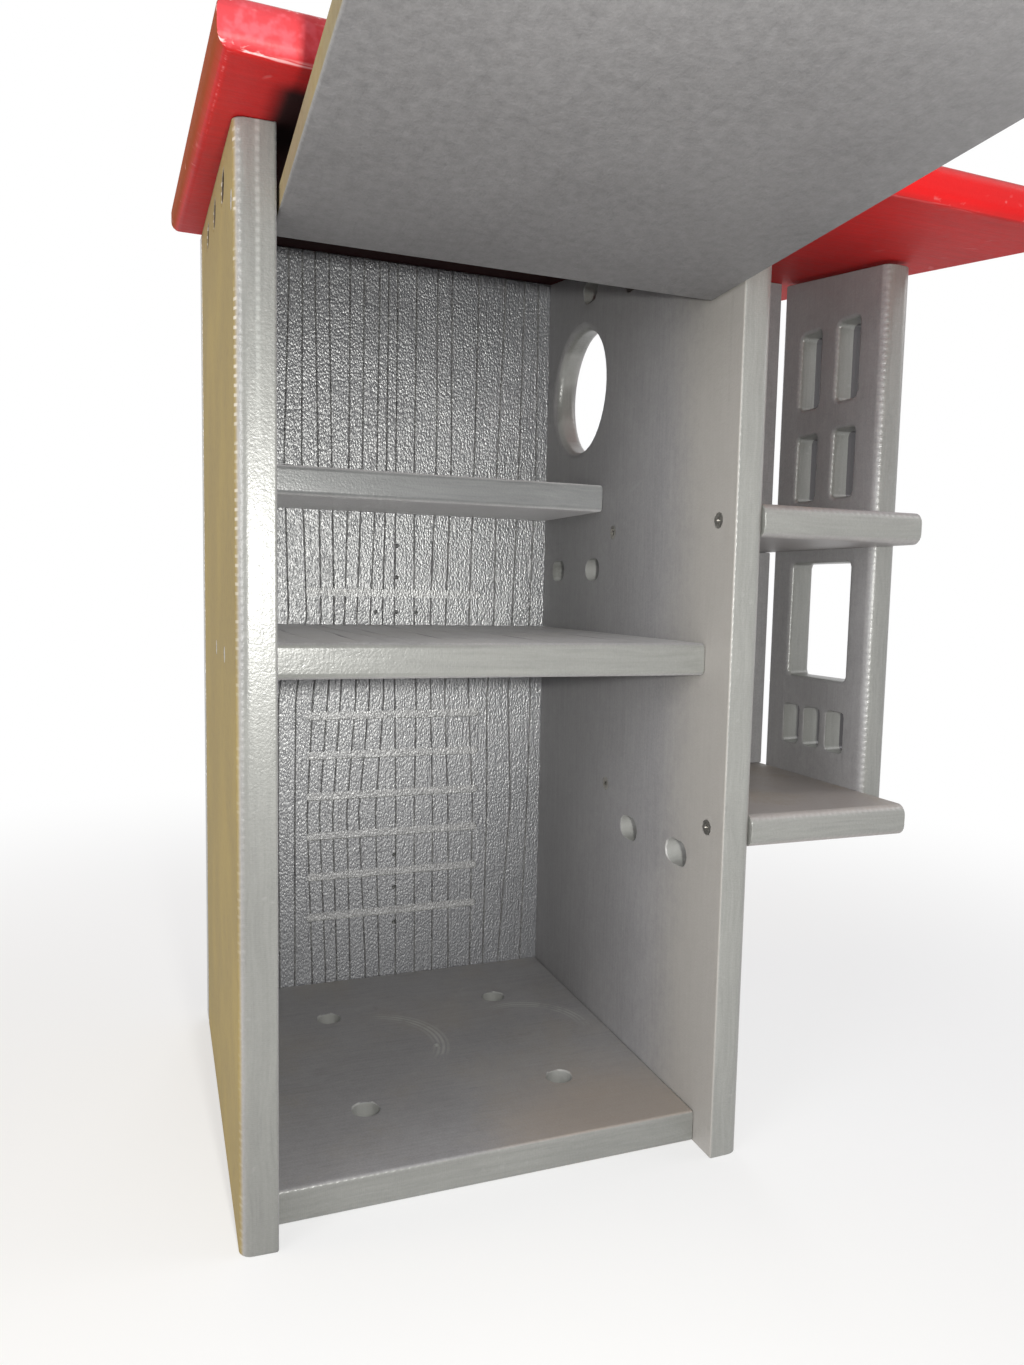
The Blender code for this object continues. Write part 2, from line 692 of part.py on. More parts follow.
def add_panel_cuts(bm):
    """Add the panes and the doorway with rounded rims, and the low slots with crisp ones."""
    rows = [(PORCH_SHELF_TOP, cut, True) for cut in PANES]
    rows += [(PORCH_FLOOR_TOP, cut, True) for cut in DOORWAY]
    rows += [(PORCH_FLOOR_TOP, cut, False) for cut in LOW_SLOTS]
    for base, (setback, centre, width, share), is_rounded in rows:
        tall = share * WALL_FRONT_HEIGHT
        def outline(grow, width=width, tall=tall):
            return rounded_outline(width, tall, PANEL_CUT_CORNER, 2, grow)
        height = base + centre * WALL_FRONT_HEIGHT
        origin = Vector((PORCH_END_X + GAP, FRONT_Y + setback, height))
        if is_rounded:
            add_rounded_hole(bm, origin, outline, PANEL_ROUND, PANEL_ROUND_STEPS)
        else:
            add_eased_hole(bm, origin, AXIS_Y, AXIS_Z, outline, BOARD)


def make_roof():
    """Make the roof board level, turn it askew about its front left corner and tilt it."""
    front = FRONT_Y - ROOF_FRONT_OVERHANG
    low = Vector((-HALF_WIDTH - ROOF_LEFT_OVERHANG, 0.0, 0.0))
    width = PANEL_OUT_X + ROOF_PORCH_OVERHANG - low.x
    run = (REAR_Y - front) / math.cos(ROOF_SLOPE) - width * math.sin(ROOF_TURN)
    high = (low.x + width, run / math.cos(ROOF_TURN), BOARD)
    bm = box_bmesh(low, high)
    rims = []
    for face in ((0, low[0]), (0, high[0]), (1, low[1]), (1, high[1])):
        for z in (low[2], high[2]):
            rims.extend(edges_between(bm, face, (2, z)))
    round_edges(bm, rims, ROUND)
    ease_edges(bm)
    askew = Matrix.Rotation(ROOF_TURN, 3, "Z")
    bmesh.ops.rotate(bm, verts=bm.verts, cent=low, matrix=askew)
    tilt = Matrix.Rotation(ROOF_SLOPE, 3, "X")
    bmesh.ops.rotate(bm, verts=bm.verts, cent=Vector(), matrix=tilt)
    bmesh.ops.translate(bm, verts=bm.verts, vec=Vector((0.0, front, roof_height(front))))
    return finish_object("roof_board", bm, RED_FINISH)


def make_door():
    """Make the front door about its pivot axis, hanging closed, then swing it open."""
    half = INNER_HALF - DOOR_SIDE_GAP
    low = (-half, -DOOR_BOARD / 2, -DOOR_DROP)
    high = (half, DOOR_BOARD / 2, DOOR_PIVOT_INSET)
    bm = box_bmesh(low, high)
    ease_edges(bm, 2 * EASE)
    opening = -math.pi / 2 - DOOR_RISE
    bmesh.ops.rotate(
        bm, verts=bm.verts, cent=Vector(), matrix=Matrix.Rotation(opening, 3, "X")
    )
    pivot = Vector((0.0, PIVOT_Y, PIVOT_Z))
    bmesh.ops.translate(bm, verts=bm.verts, vec=pivot)
    return finish_object("front_door", bm, GREY_FINISH, pivot)


def main():
    clear_scene()
    table = screw_table()
    cut_board(
        make_side_wall("left_side_wall", -HALF_WIDTH), table, lambda bm: add_top_vents(bm, -HALF_WIDTH)
    )
    cut_board(make_side_wall("right_side_wall", INNER_HALF), table, add_right_openings)
    back_wall = make_back_wall()
    cut_board(back_wall, table, add_back_openings)
    groove_back_wall(back_wall)

    cut_board(make_inner_shelf("floor_board", FLOOR_SETBACK, BOARD), table, add_drain_holes)
    lower_shelf = make_inner_shelf("lower_shelf", LOWER_SHELF_SETBACK, LOWER_SHELF_TOP)
    cut_board(lower_shelf, table)
    groove_lower_shelf(lower_shelf)
    cut_board(make_inner_shelf("upper_shelf", UPPER_SHELF_SETBACK, UPPER_SHELF_TOP), table)

    cut_board(make_porch_board("porch_floor", PORCH_FLOOR_TOP), table)
    cut_board(make_porch_board("porch_shelf", PORCH_SHELF_TOP), table)
    lower_top = PORCH_SHELF_TOP - BOARD - GAP
    cut_board(make_porch_back("porch_back_lower", PORCH_FLOOR_TOP + GAP, lower_top), table)
    cut_board(make_porch_back("porch_back_upper", PORCH_SHELF_TOP + GAP), table)
    cut_board(make_porch_panel(), table, add_panel_cuts)

    cut_board(make_roof(), table)
    cut_board(make_door(), table)
    place_screws(table)


main()
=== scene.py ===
"""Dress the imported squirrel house: grey boards, a red roof, steel screws and the stage."""
import json
import math

import bmesh
import bpy
from bpy.props import FloatProperty, FloatVectorProperty, IntProperty, PointerProperty
from mathutils import Matrix, Vector


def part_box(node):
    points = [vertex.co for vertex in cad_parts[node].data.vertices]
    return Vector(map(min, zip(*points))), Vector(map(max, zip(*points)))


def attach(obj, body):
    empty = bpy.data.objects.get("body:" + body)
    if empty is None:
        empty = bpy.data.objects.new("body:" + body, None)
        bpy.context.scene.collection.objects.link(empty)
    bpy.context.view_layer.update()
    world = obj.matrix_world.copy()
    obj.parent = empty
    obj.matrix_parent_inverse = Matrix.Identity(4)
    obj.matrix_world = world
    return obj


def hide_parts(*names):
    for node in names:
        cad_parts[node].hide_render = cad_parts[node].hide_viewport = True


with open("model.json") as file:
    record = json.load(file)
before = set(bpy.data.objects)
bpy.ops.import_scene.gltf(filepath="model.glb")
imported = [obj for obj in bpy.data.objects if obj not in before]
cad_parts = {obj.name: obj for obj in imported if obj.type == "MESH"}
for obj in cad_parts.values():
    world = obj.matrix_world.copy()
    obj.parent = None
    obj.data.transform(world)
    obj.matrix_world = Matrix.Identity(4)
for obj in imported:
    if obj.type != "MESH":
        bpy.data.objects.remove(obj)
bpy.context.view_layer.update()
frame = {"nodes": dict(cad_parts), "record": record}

bl_info = {
    "name": "Squirrel House Looks",
    "version": (1, 0, 0),
    "blender": (4, 5, 0),
    "location": "3D View > Sidebar > Squirrel House",
    "description": "Finishes for a squirrel house built of thick moulded boards",
    "category": "Object",
}

SCREW_NODES = sorted(name for name in frame["nodes"] if "_screw_" in name)


# Settings


def colour_setting(name, description, default):
    """Colour that a user may change."""
    return FloatVectorProperty(
        name=name, description=description, default=default, subtype="COLOR", size=3,
        min=0.0, max=1.0)


def length_setting(name, description, default, low, high):
    """Length that a user may change."""
    return FloatProperty(
        name=name, description=description, default=default, min=low, max=high,
        subtype="DISTANCE", unit="LENGTH")


def power_setting(name, description, default):
    """Power of a lamp that a user may change."""
    return FloatProperty(
        name=name, description=description, default=default, min=0.0, max=500.0, unit="POWER")


class BoardSettings(bpy.types.PropertyGroup):
    """Colours and relief of the moulded boards."""

    grey: colour_setting(
        "Board grey", "Colour of the moulded faces", (0.262, 0.256, 0.262))
    cut_grey: colour_setting(
        "Cut edge grey", "Lighter, greener colour of machined edges", (0.250, 0.252, 0.238))
    dust: colour_setting(
        "Dust", "Colour of the dust that lies on level faces", (0.300, 0.262, 0.205))
    red: colour_setting(
        "Roof red", "Colour of the roof board", (0.510, 0.013, 0.013))
    # Painted warm light: the tan laid on faces that look left
    tan: colour_setting(
        "Painted warm light tan", "Tan painted on the faces that look left, as warm light", (0.245, 0.184, 0.054))
    ripple_pitch: length_setting(
        "Cutter ripple", "Spacing of the marks left by the edge cutter", 0.0043, 0.001, 0.02)
    smooth_angle: FloatProperty(
        name="Smooth angle", description="Edges flatter than this are shaded smooth",
        subtype="ANGLE", min=0.0, max=math.pi, default=math.radians(30))


class ScrewSettings(bpy.types.PropertyGroup):
    """Sizes of the countersunk screws."""

    head_radius: length_setting(
        "Head radius", "Radius of the screw head", 0.0046, 0.002, 0.01)
    cone_height: length_setting(
        "Cone height", "Height of the countersunk part of the head", 0.0031, 0.001, 0.006)
    shank_radius: length_setting(
        "Shank radius", "Core radius of the threaded shank", 0.0015, 0.001, 0.004)
    thread_radius: length_setting(
        "Thread radius", "Outer radius of the thread", 0.0021, 0.001, 0.005)
    length: length_setting(
        "Length", "Length from the head's face to the point", 0.0418, 0.01, 0.08)
    turns: IntProperty(
        name="Thread turns", description="Turns of the thread", min=4, max=40, default=14)
    steel: colour_setting(
        "Steel", "Colour of the plated steel", (0.52, 0.50, 0.46))


class StageSettings(bpy.types.PropertyGroup):
    """Camera, lamps and floor."""

    focal_length: FloatProperty(
        name="Focal length", description="Lens for a sensor 36 mm wide", unit="CAMERA",
        min=10.0, max=200.0, default=34.41)
    floor_size: length_setting(
        "Floor size", "Side of the square floor", 14.0, 1.0, 50.0)
    key_power: power_setting(
        "Key light", "Power of the lamp beside the camera", 3.0)
    warm_power: power_setting(
        "Warm light", "Power of the warm lamp on the left", 7.0)
    surroundings: FloatProperty(
        name="Surroundings", description="Strength of the even light from all sides",
        subtype="FACTOR", min=0.0, max=2.0, default=0.45)
    soft_power: power_setting(
        "Soft light", "Power of the large lamp in front", 22.0)


# Mesh helpers


def deselect_all():
    """Leave edit mode and deselect every object."""
    if bpy.context.object is not None and bpy.context.object.mode != "OBJECT":
        bpy.ops.object.mode_set(mode="OBJECT")
    bpy.ops.object.select_all(action="DESELECT")


def make_active(piece):
    """Select one object alone and make it active."""
    deselect_all()
    piece.select_set(True)
    bpy.context.view_layer.objects.active = piece


def edit_mesh(piece, kind="FACE"):
    """Enter edit mode on a piece and return its mesh data for selecting by place."""
    make_active(piece)
    bpy.ops.object.mode_set(mode="EDIT")
    bpy.ops.mesh.select_mode(type=kind)
    bpy.ops.mesh.select_all(action="DESELECT")
    return bmesh.from_edit_mesh(piece.data)


def leave_edit():
    """Leave edit mode."""
    bpy.ops.object.mode_set(mode="OBJECT")


def shade(piece, angle):
    """Shade smooth below an angle and keep the large flat faces flat."""
    make_active(piece)
    bpy.ops.object.shade_smooth_by_angle(angle=angle)
    weighted = piece.modifiers.new("flat faces", "WEIGHTED_NORMAL")
    weighted.keep_sharp = True
    weighted.weight = 90
    bpy.ops.object.modifier_apply(modifier=weighted.name)


def finished_board(node, material, name=None, body="house", angle=None):
    """Turn a copy of a board into one joined, smoothly shaded piece that stands for it."""
    source = frame["nodes"][node]
    piece = bpy.data.objects.new(name or node + "_finished", source.data.copy())
    bpy.context.scene.collection.objects.link(piece)
    edit_mesh(piece, "VERT")
    bpy.ops.mesh.select_all(action="SELECT")
    bpy.ops.mesh.remove_doubles(threshold=0.00001)
    leave_edit()
    shade(piece, angle or bpy.context.scene.board_looks.smooth_angle)
    piece.data.materials.clear()
    piece.data.materials.append(material)
    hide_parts(node)
    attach(piece, body)
    return piece


def leave_reshaped(piece):
    """Keep the vertices that were moved in edit mode, and shade the piece again."""
    bmesh.update_edit_mesh(piece.data)
    leave_edit()
    shade(piece, bpy.context.scene.board_looks.smooth_angle)


def tighten_arris(piece, axes, corner, share, reach=0.00645):
    """Shrink the rounding of a long edge towards its corner; axes are its two directions."""
    mesh = edit_mesh(piece, "VERT")
    first, second = axes
    for vert in mesh.verts:
        off = (vert.co[first] - corner[0], vert.co[second] - corner[1])
        if max(abs(off[0]), abs(off[1])) < reach:
            vert.co[first] = corner[0] + off[0] * share
            vert.co[second] = corner[1] + off[1] * share
    leave_reshaped(piece)


def square_far_rims(piece):
    """Square the panes' rims on the porch panel's outer face, so no light shows through."""
    low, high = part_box("porch_panel")
    rim_radius, hair = 0.0032, 1e-5
    rim_start = high[0] - rim_radius
    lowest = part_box("porch_shelf")[1][2] + 0.002
    front, rear, top = low[1] + 0.008, high[1] - 0.004, high[2] - 0.012
    mesh = edit_mesh(piece, "VERT")
    near = [vert for vert in mesh.verts
            if vert.co.x > rim_start - hair and lowest < vert.co.z < top
            and front < vert.co.y < rear]
    bore = [vert.co.copy() for vert in near if vert.co.x < rim_start + hair]
    for vert in near:
        if vert.co.x >= rim_start + hair and bore:
            _, vert.co.y, vert.co.z = min(
                bore, key=lambda own: (own.y - vert.co.y) ** 2 + (own.z - vert.co.z) ** 2)
    leave_reshaped(piece)


# Node helpers

X_AXIS, Y_AXIS, Z_AXIS = (1.0, 0.0, 0.0), (0.0, 1.0, 0.0), (0.0, 0.0, 1.0)
TO_FRONT = (0.0, -1.0, 0.0)
TO_LEFT = (-1.0, 0.0, 0.0)
TO_GROUND = (0.0, 0.0, -1.0)


def give(tree, inputs, links):
    """Give each named input a value or a link."""
    for name, value in links.items():
        if isinstance(value, bpy.types.NodeSocket):
            tree.links.new(value, inputs[name])
        else:
            inputs[name].default_value = value


def add_node(tree, kind, links=None, **settings):
    """Add a node, set its properties and give it its inputs' values or links."""
    node = tree.nodes.new("ShaderNode" + kind)
    for name, value in settings.items():
        setattr(node, name, value)
    give(tree, node.inputs, links or {})
    return node


def calc(tree, operation, first, second=0.0, clamp=False):
    """Join two values with a math node."""
    node = add_node(tree, "Math", {0: first, 1: second}, operation=operation, use_clamp=clamp)
    return node.outputs[0]


def plus(tree, first, second, clamp=False):
    """Add two values."""
    return calc(tree, "ADD", first, second, clamp)


def minus(tree, first, second):
    """Take one value from another."""
    return calc(tree, "SUBTRACT", first, second)


def times(tree, first, second, clamp=False):
    """Multiply two values."""
    return calc(tree, "MULTIPLY", first, second, clamp)


def vector_calc(tree, operation, first, second=(0.0, 0.0, 0.0)):
    """Join two vectors with a vector math node, and return its value or its vector."""
    node = add_node(tree, "VectorMath", {0: first, 1: second}, operation=operation)
    return node.outputs["Value" if operation in ("DOT_PRODUCT", "LENGTH") else "Vector"]


def part_of(tree, vector, axis):
    """One part of a vector."""
    return add_node(tree, "SeparateXYZ", {0: vector}).outputs[axis]


def largest_part(tree, vector):
    """Largest of the three parts of a vector."""
    parts = add_node(tree, "SeparateXYZ", {0: vector}).outputs
    return calc(tree, "MAXIMUM", calc(tree, "MAXIMUM", parts[0], parts[1]), parts[2])


def span(tree, value, low, high, start=0.0, end=1.0):
    """Turn the range low to high of a value smoothly into start to end."""
    links = {"Value": value, "From Min": low, "From Max": high, "To Min": start, "To Max": end}
    return add_node(tree, "MapRange", links, interpolation_type="SMOOTHSTEP").outputs["Result"]


def side_mask(tree, facing, direction, low=0.70, high=0.97):
    """One where a face points in a direction."""
    toward = vector_calc(tree, "DOT_PRODUCT", facing, direction)
    return span(tree, toward, low, high)


def mix_colour(tree, factor, first, second, blend="MIX"):
    """Mix two colours."""
    node = add_node(tree, "Mix", data_type="RGBA", blend_type=blend)
    colours = (value if isinstance(value, bpy.types.NodeSocket) else (*value[:3], 1.0)
               for value in (first, second))
    give(tree, node.inputs, dict(zip((0, 6, 7), (factor, *colours))))
    return node.outputs[2]


def noise(tree, vector, scale, detail=2.0, roughness=0.5):
    """Noise value between 0 and 1."""
    links = {"Vector": vector, "Scale": scale, "Detail": detail, "Roughness": roughness}
    return add_node(tree, "TexNoise", links).outputs["Fac"]


def new_group(name, vectors_in, values_in, values_out, vectors_out=()):
    """Make an empty shader group from its sockets' names, and return it with its ends."""
    group = bpy.data.node_groups.new(name, "ShaderNodeTree")
    for sockets, end, kind in (
            (vectors_in, "INPUT", "Vector"), (values_in, "INPUT", "Float"),
            (values_out, "OUTPUT", "Float"), (vectors_out, "OUTPUT", "Vector")):
        for socket in sockets:
            group.interface.new_socket(
                name=socket, in_out=end, socket_type="NodeSocket" + kind)
    given = group.nodes.new("NodeGroupInput").outputs
    made = group.nodes.new("NodeGroupOutput").inputs
    return group, given, made


def place_group(tree, name, links):
    """Place a shader group in a material and return its outputs."""
    return add_node(tree, "Group", links, node_tree=bpy.data.node_groups[name]).outputs


# Shared effects


def build_board_space():
    """Group that turns object coordinates to a board's own directions and marks its faces."""
    tree, given, made = new_group(
        "board_space", ["Across"], ["Tilt"], ["Cut edge", "Arris", "Rim"], ["Place", "Facing"])
    source = add_node(tree, "TexCoord").outputs
    place, facing = (
        add_node(tree, "VectorRotate", {"Vector": source[kind], "Angle": given["Tilt"]},
                 rotation_type="X_AXIS").outputs[0] for kind in ("Object", "Normal"))
    across = vector_calc(tree, "DOT_PRODUCT", facing, given["Across"])
    largest = largest_part(tree, vector_calc(tree, "ABSOLUTE", facing))
    front = vector_calc(tree, "DOT_PRODUCT", facing, TO_FRONT)
    give(tree, made, {
        "Place": place, "Facing": facing,
        "Cut edge": span(tree, calc(tree, "ABSOLUTE", across), 0.93, 0.40),
        "Arris": span(tree, largest, 0.992, 0.80),
        "Rim": times(tree, span(tree, front, 0.10, 0.30), span(tree, front, 0.72, 0.52))})


def build_speckle():
    """Group for the pebbled skin of recycled plastic: tone and relief of fine grains."""
    tree, given, made = new_group(
        "speckle", ["Place"], [], ["Fine", "Mottle", "Cloud", "Height"])
    place = given["Place"]
    fine = noise(tree, place, 900.0, 2.0, 0.6)
    mottle = noise(tree, place, 190.0, 2.0, 0.6)
    cells = add_node(tree, "TexVoronoi", {"Vector": place, "Scale": 620.0})
    pits = times(tree, cells.outputs["Distance"], -0.45)
    give(tree, made, {
        "Fine": fine, "Mottle": mottle, "Cloud": noise(tree, place, 14.0, 2.0, 0.55),
        "Height": plus(tree, plus(tree, fine, pits), times(tree, mottle, 0.7))})


def bent_place(tree, place, scale, detail, reach):
    """Place shifted by a slow noise, so that straight lines wander."""
    shift = times(tree, minus(tree, noise(tree, place, scale, detail), 0.5), reach)
    return vector_calc(tree, "ADD", place, shift)


def build_streaks():
    """Group for long fine streaks along a board, with pores."""
    tree, given, made = new_group("streaks", ["Place", "Along"], ["Scale"], ["Streak", "Pore"])
    place = bent_place(tree, given["Place"], 22.0, 0.0, 0.006)
    place = vector_calc(tree, "MULTIPLY", place, given["Along"])
    pore = noise(tree, place, times(tree, given["Scale"], 1.9), 1.0)
    give(tree, made, {
        "Streak": noise(tree, place, given["Scale"], 2.0, 0.65),
        "Pore": span(tree, pore, 0.60, 0.74)})


def build_cutter_marks():
    """Group for the marks of an edge cutter: a slow ripple, dots for painted glints, and fine
    lines.
    """
    tree, given, made = new_group(
        "cutter_marks", ["Place", "Along"], ["Pitch"], ["Ripple", "Dots", "Lines"])
    place = given["Place"]
    along = vector_calc(tree, "DOT_PRODUCT", place, given["Along"])
    along = plus(tree, along, times(tree, noise(tree, place, 75.0, 1.0), 0.0018))
    turns = calc(tree, "DIVIDE", along, given["Pitch"])
    wave = calc(tree, "SINE", times(tree, turns, math.tau))
    fine = calc(tree, "SINE", times(tree, turns, math.tau * 4.3))
    # patches where the dots of painted glint show
    wear_and_light_patch = span(tree, noise(tree, place, 110.0), 0.34, 0.62)
    blur = span(tree, noise(tree, place, 240.0, 0.0), 0.3, 0.7)
    give(tree, made, {
        "Ripple": span(tree, wave, -1.0, 1.0),
        "Dots": times(tree, span(tree, wave, 0.10, 0.85), wear_and_light_patch),
        "Lines": times(tree, fine, blur)})


def build_dust():
    """Group for dust and stains that lie on upward faces."""
    tree, given, made = new_group("dust", ["Place", "Facing"], ["Amount"], ["Dust", "Stain"])
    place = given["Place"]
    level = side_mask(tree, given["Facing"], Z_AXIS, 0.55, 0.95)
    grit = times(tree, minus(tree, noise(tree, place, 420.0, 1.0), 0.5), 0.3)
    patch = plus(tree, noise(tree, place, 19.0, 4.0, 0.62), grit)
    dust = times(tree, span(tree, patch, 0.44, 0.74), level)
    stain = times(tree, span(tree, noise(tree, place, 33.0, 3.0, 0.7), 0.62, 0.78), level)
    give(tree, made, {
        "Dust": times(tree, dust, given["Amount"], True),
        "Stain": times(tree, stain, given["Amount"], True)})


def build_scratches():
    """Group for thin straight scratches in three directions."""
    tree, given, made = new_group("scratches", ["Place"], ["Scale"], ["Scratch"])
    total = 0.0
    for turn, offset in ((0.5, 0.0), (-0.9, 3.7), (1.35, 8.1)):
        links = {"Vector": given["Place"], "Rotation": (0.35, 0.2, turn),
                 "Location": (offset, offset, offset)}
        turned = add_node(tree, "Mapping", links).outputs[0]
        stretched = vector_calc(tree, "MULTIPLY", turned, (0.06, 1.0, 1.0))
        line = noise(tree, stretched, given["Scale"], 1.0, 0.4)
        total = calc(tree, "MAXIMUM", total, span(tree, line, 0.72, 0.78))
    gate = span(tree, noise(tree, given["Place"], 30.0), 0.5, 0.62)
    give(tree, made, {"Scratch": times(tree, total, gate)})


def build_arcs():
    """Group for faint round rub marks left by something turned on a board."""
    tree, given, made = new_group("arcs", ["Place"], [], ["Arc"])
    total = 0.0
    for centre, radius, middle in (((0.066, 0.013, 0.019), 0.044, (0.65, 0.76, 0.0)),
                                   ((-0.045, 0.020, 0.019), 0.049, (0.95, 0.30, 0.0))):
        arm = vector_calc(tree, "SUBTRACT", given["Place"], centre)
        reach = vector_calc(tree, "LENGTH", arm)
        rings = calc(tree, "SINE", times(tree, reach, 1900.0))
        near = calc(tree, "ABSOLUTE", minus(tree, reach, radius))
        sector = vector_calc(tree, "DOT_PRODUCT", arm, middle)
        band = times(tree, span(tree, near, 0.008, 0.001), span(tree, sector, 0.018, 0.042))
        mark = times(tree, span(tree, rings, -1.2, 0.9), band)
        total = calc(tree, "MAXIMUM", total, mark)
    patch = span(tree, noise(tree, given["Place"], 60.0, 3.0, 0.6), 0.32, 0.52)
    give(tree, made, {"Arc": times(tree, total, patch)})


def build_grain():
    """Group for oak-like grain pressed into a board: lines of painted shade by depth, splits,
    grit, slot floors and ledges with a painted highlight.
    """
    tree, given, made = new_group(
        "grain", ["Place", "Facing"], ["Face"], ["Line", "Split", "Grit", "Slot", "Ledge"])
    place = given["Place"]
    sunk = minus(tree, part_of(tree, place, "Y"), given["Face"])
    rise = calc(tree, "ABSOLUTE", part_of(tree, given["Facing"], "Z"))
    ledge = span(tree, rise, 0.3, 0.8)
    bottom = span(tree, sunk, 0.0045, 0.0035)
    inside = times(tree, span(tree, sunk, 0.0, 0.0002), bottom)
    line = times(tree, span(tree, sunk, 0.00015, 0.00060), span(tree, sunk, 0.0016, 0.0013))
    line = times(tree, line, minus(tree, 1.0, ledge))
    fading = span(tree, noise(tree, place, 26.0, 3.0, 0.6), 0.36, 0.60, 0.30, 1.0)
    bent = bent_place(tree, place, 16.0, 1.0, 0.012)
    thin = vector_calc(tree, "MULTIPLY", bent, (1.0, 1.0, 0.030))
    split = span(tree, noise(tree, thin, 330.0, 2.0, 0.4), 0.62, 0.70)
    gate = span(tree, noise(tree, place, 45.0), 0.42, 0.60)
    short = vector_calc(tree, "MULTIPLY", bent, (1.0, 1.0, 0.55))
    grit = add_node(tree, "TexVoronoi", {"Vector": short, "Scale": 780.0})
    give(tree, made, {
        "Line": times(tree, line, fading), "Split": times(tree, split, gate),
        "Grit": grit.outputs["Distance"], "Ledge": times(tree, ledge, inside),
        "Slot": times(tree, span(tree, sunk, 0.0022, 0.0026), bottom)})


# Board materials

PORE_DARK = (0.050, 0.048, 0.060)
SCRATCH_PALE = (0.48, 0.48, 0.47)
STAIN_BROWN = (0.075, 0.058, 0.045)
# Darker and paler tans within the painted warm light
PAINTED_WARM_DARK_TAN, PAINTED_WARM_PALE_TAN = (0.185, 0.138, 0.060), (0.36, 0.270, 0.075)
PANE_SHADOW = (0.022, 0.016, 0.022)
# Painted shade in the grooves of a level face
GROOVE_PAINTED_SHADE = (0.060, 0.054, 0.060)
# Painted highlights: a pale line on a cutter ridge, and pale glint dots on a rounded rim
RIDGE_PAINTED_HIGHLIGHT, GLINT_DOT_PAINT = (0.62, 0.64, 0.62), (0.66, 0.64, 0.60)
ARC_PALE = (0.44, 0.43, 0.42)
SPLIT_DARK, GRIT_PALE = (0.085, 0.078, 0.088), (0.46, 0.46, 0.47)
# Painted shade in the grain's grooves
GRAIN_PAINTED_SHADE = (0.060, 0.054, 0.062)
# Slot floors are a lighter machined grey; the ledges carry a painted highlight
SLOT_GREY, LEDGE_PAINTED_HIGHLIGHT = (0.330, 0.325, 0.325), (0.56, 0.56, 0.55)
# Painted light: paler grey on hole walls; painted shade: dark brown in the left wall's holes
BORE_PAINTED_LIGHT, BORE_PAINTED_SHADE = (0.50, 0.50, 0.49), (0.060, 0.036, 0.022)


def new_material(name):
    """Empty material with a node tree."""
    material = bpy.data.materials.new(name)
    material.use_nodes = True
    material.node_tree.nodes.clear()
    return material, material.node_tree


def total_of(tree, *parts):
    """Add values, each given with its share."""
    total = 0.0
    for value, share in parts:
        total = plus(tree, total, times(tree, value, share))
    return total


def laid_over(tree, colour, *layers):
    """Lay coloured masks over a colour, each given with its share and its colour."""
    for mask, share, top in layers:
        colour = mix_colour(tree, times(tree, mask, share, True), colour, top)
    return colour


def within(tree, place, centre, half):
    """One inside a box given by its centre and half sizes, fading at its sides."""
    off = vector_calc(tree, "SUBTRACT", place, centre)
    off = vector_calc(tree, "DIVIDE", vector_calc(tree, "ABSOLUTE", off), half)
    return span(tree, largest_part(tree, off), 1.0, 0.98)


def soft_patch(tree, place, centre, scale):
    """One at a centre, fading around it; scale is one over the reach along each axis."""
    off = vector_calc(tree, "SUBTRACT", place, centre)
    off = vector_calc(tree, "MULTIPLY", off, scale)
    return span(tree, vector_calc(tree, "LENGTH", off), 1.0, 0.0)


def painted_warm_light_layers(tree, outer, speckle, share):
    """Painted warm light: tan on the faces that look left, with darker spots and paler clouds.
    """
    dark = times(tree, outer, span(tree, speckle["Mottle"], 0.45, 0.70))
    pale = times(tree, outer, span(tree, speckle["Cloud"], 0.40, 0.70))
    tan = bpy.context.scene.board_looks.tan
    return [(outer, share, tan), (dark, 0.40, PAINTED_WARM_DARK_TAN), (pale, 0.30, PAINTED_WARM_PALE_TAN)]


def wear_and_light_layer(tree, place, speckle, cut_edge, wear_and_light_patch):
    """Soft patch on the flat faces: wear, and on the right wall painted light too; it is given
    by its centre, scale, share and colour.
    """
    centre, scale, share, colour = wear_and_light_patch
    spread = plus(tree, soft_patch(tree, place, centre, scale),
                  total_of(tree, (speckle["Cloud"], 0.5), (speckle["Mottle"], 0.3)))
    flat = minus(tree, 1.0, cut_edge)
    return times(tree, span(tree, spread, 0.40, 1.25), flat), share, colour


def bore_layer(tree, place, cut_edge, bore):
    """Painted light and shade on the walls of the holes inside a box; bore is its centre, half
    sizes, share and colour.
    """
    centre, half, share, colour = bore
    hollow = times(
        tree, within(tree, place, centre, half), span(tree, cut_edge, 0.02, 0.30))
    return hollow, share, colour


def painted_groove_shade_layer(tree, place, facing, top):
    """Painted shade in the grooves cut below a level face; top is that face's height."""
    sunk = minus(tree, top, part_of(tree, place, "Z"))
    lean = calc(tree, "ABSOLUTE", part_of(tree, facing, "X"))
    groove = times(tree, span(tree, lean, 0.15, 0.45), span(tree, sunk, 0.0016, 0.0012))
    return groove, 0.85, GROOVE_PAINTED_SHADE


def painted_ridge_highlight_layer(tree, place, facing, ripple, ridge):
    """Painted highlight on a cutter ridge: a thin pale line up a front edge, between two
    heights; ridge is its place along X.
    """
    off = minus(tree, part_of(tree, place, "X"), ridge)
    line = span(tree, calc(tree, "ABSOLUTE", off), 0.0016, 0.0003)
    line = times(tree, line, side_mask(tree, facing, TO_FRONT))
    line = times(tree, line, mix_value(tree, ripple, 0.4, 1.0))
    line = times(tree, line, span(tree, part_of(tree, place, "Z"), 0.36, 0.46))
    return line, 0.22, RIDGE_PAINTED_HIGHLIGHT


def painted_glint_dots_layer(tree, place, dots, rim, share):
    """Painted highlight: a row of pale glint dots along a rounded rim, fainter near the
    ground.
    """
    spot = times(tree, dots, rim)
    spot = times(tree, spot, span(tree, part_of(tree, place, "Z"), 0.24, 0.40, 0.22, 1.0))
    return spot, share, GLINT_DOT_PAINT


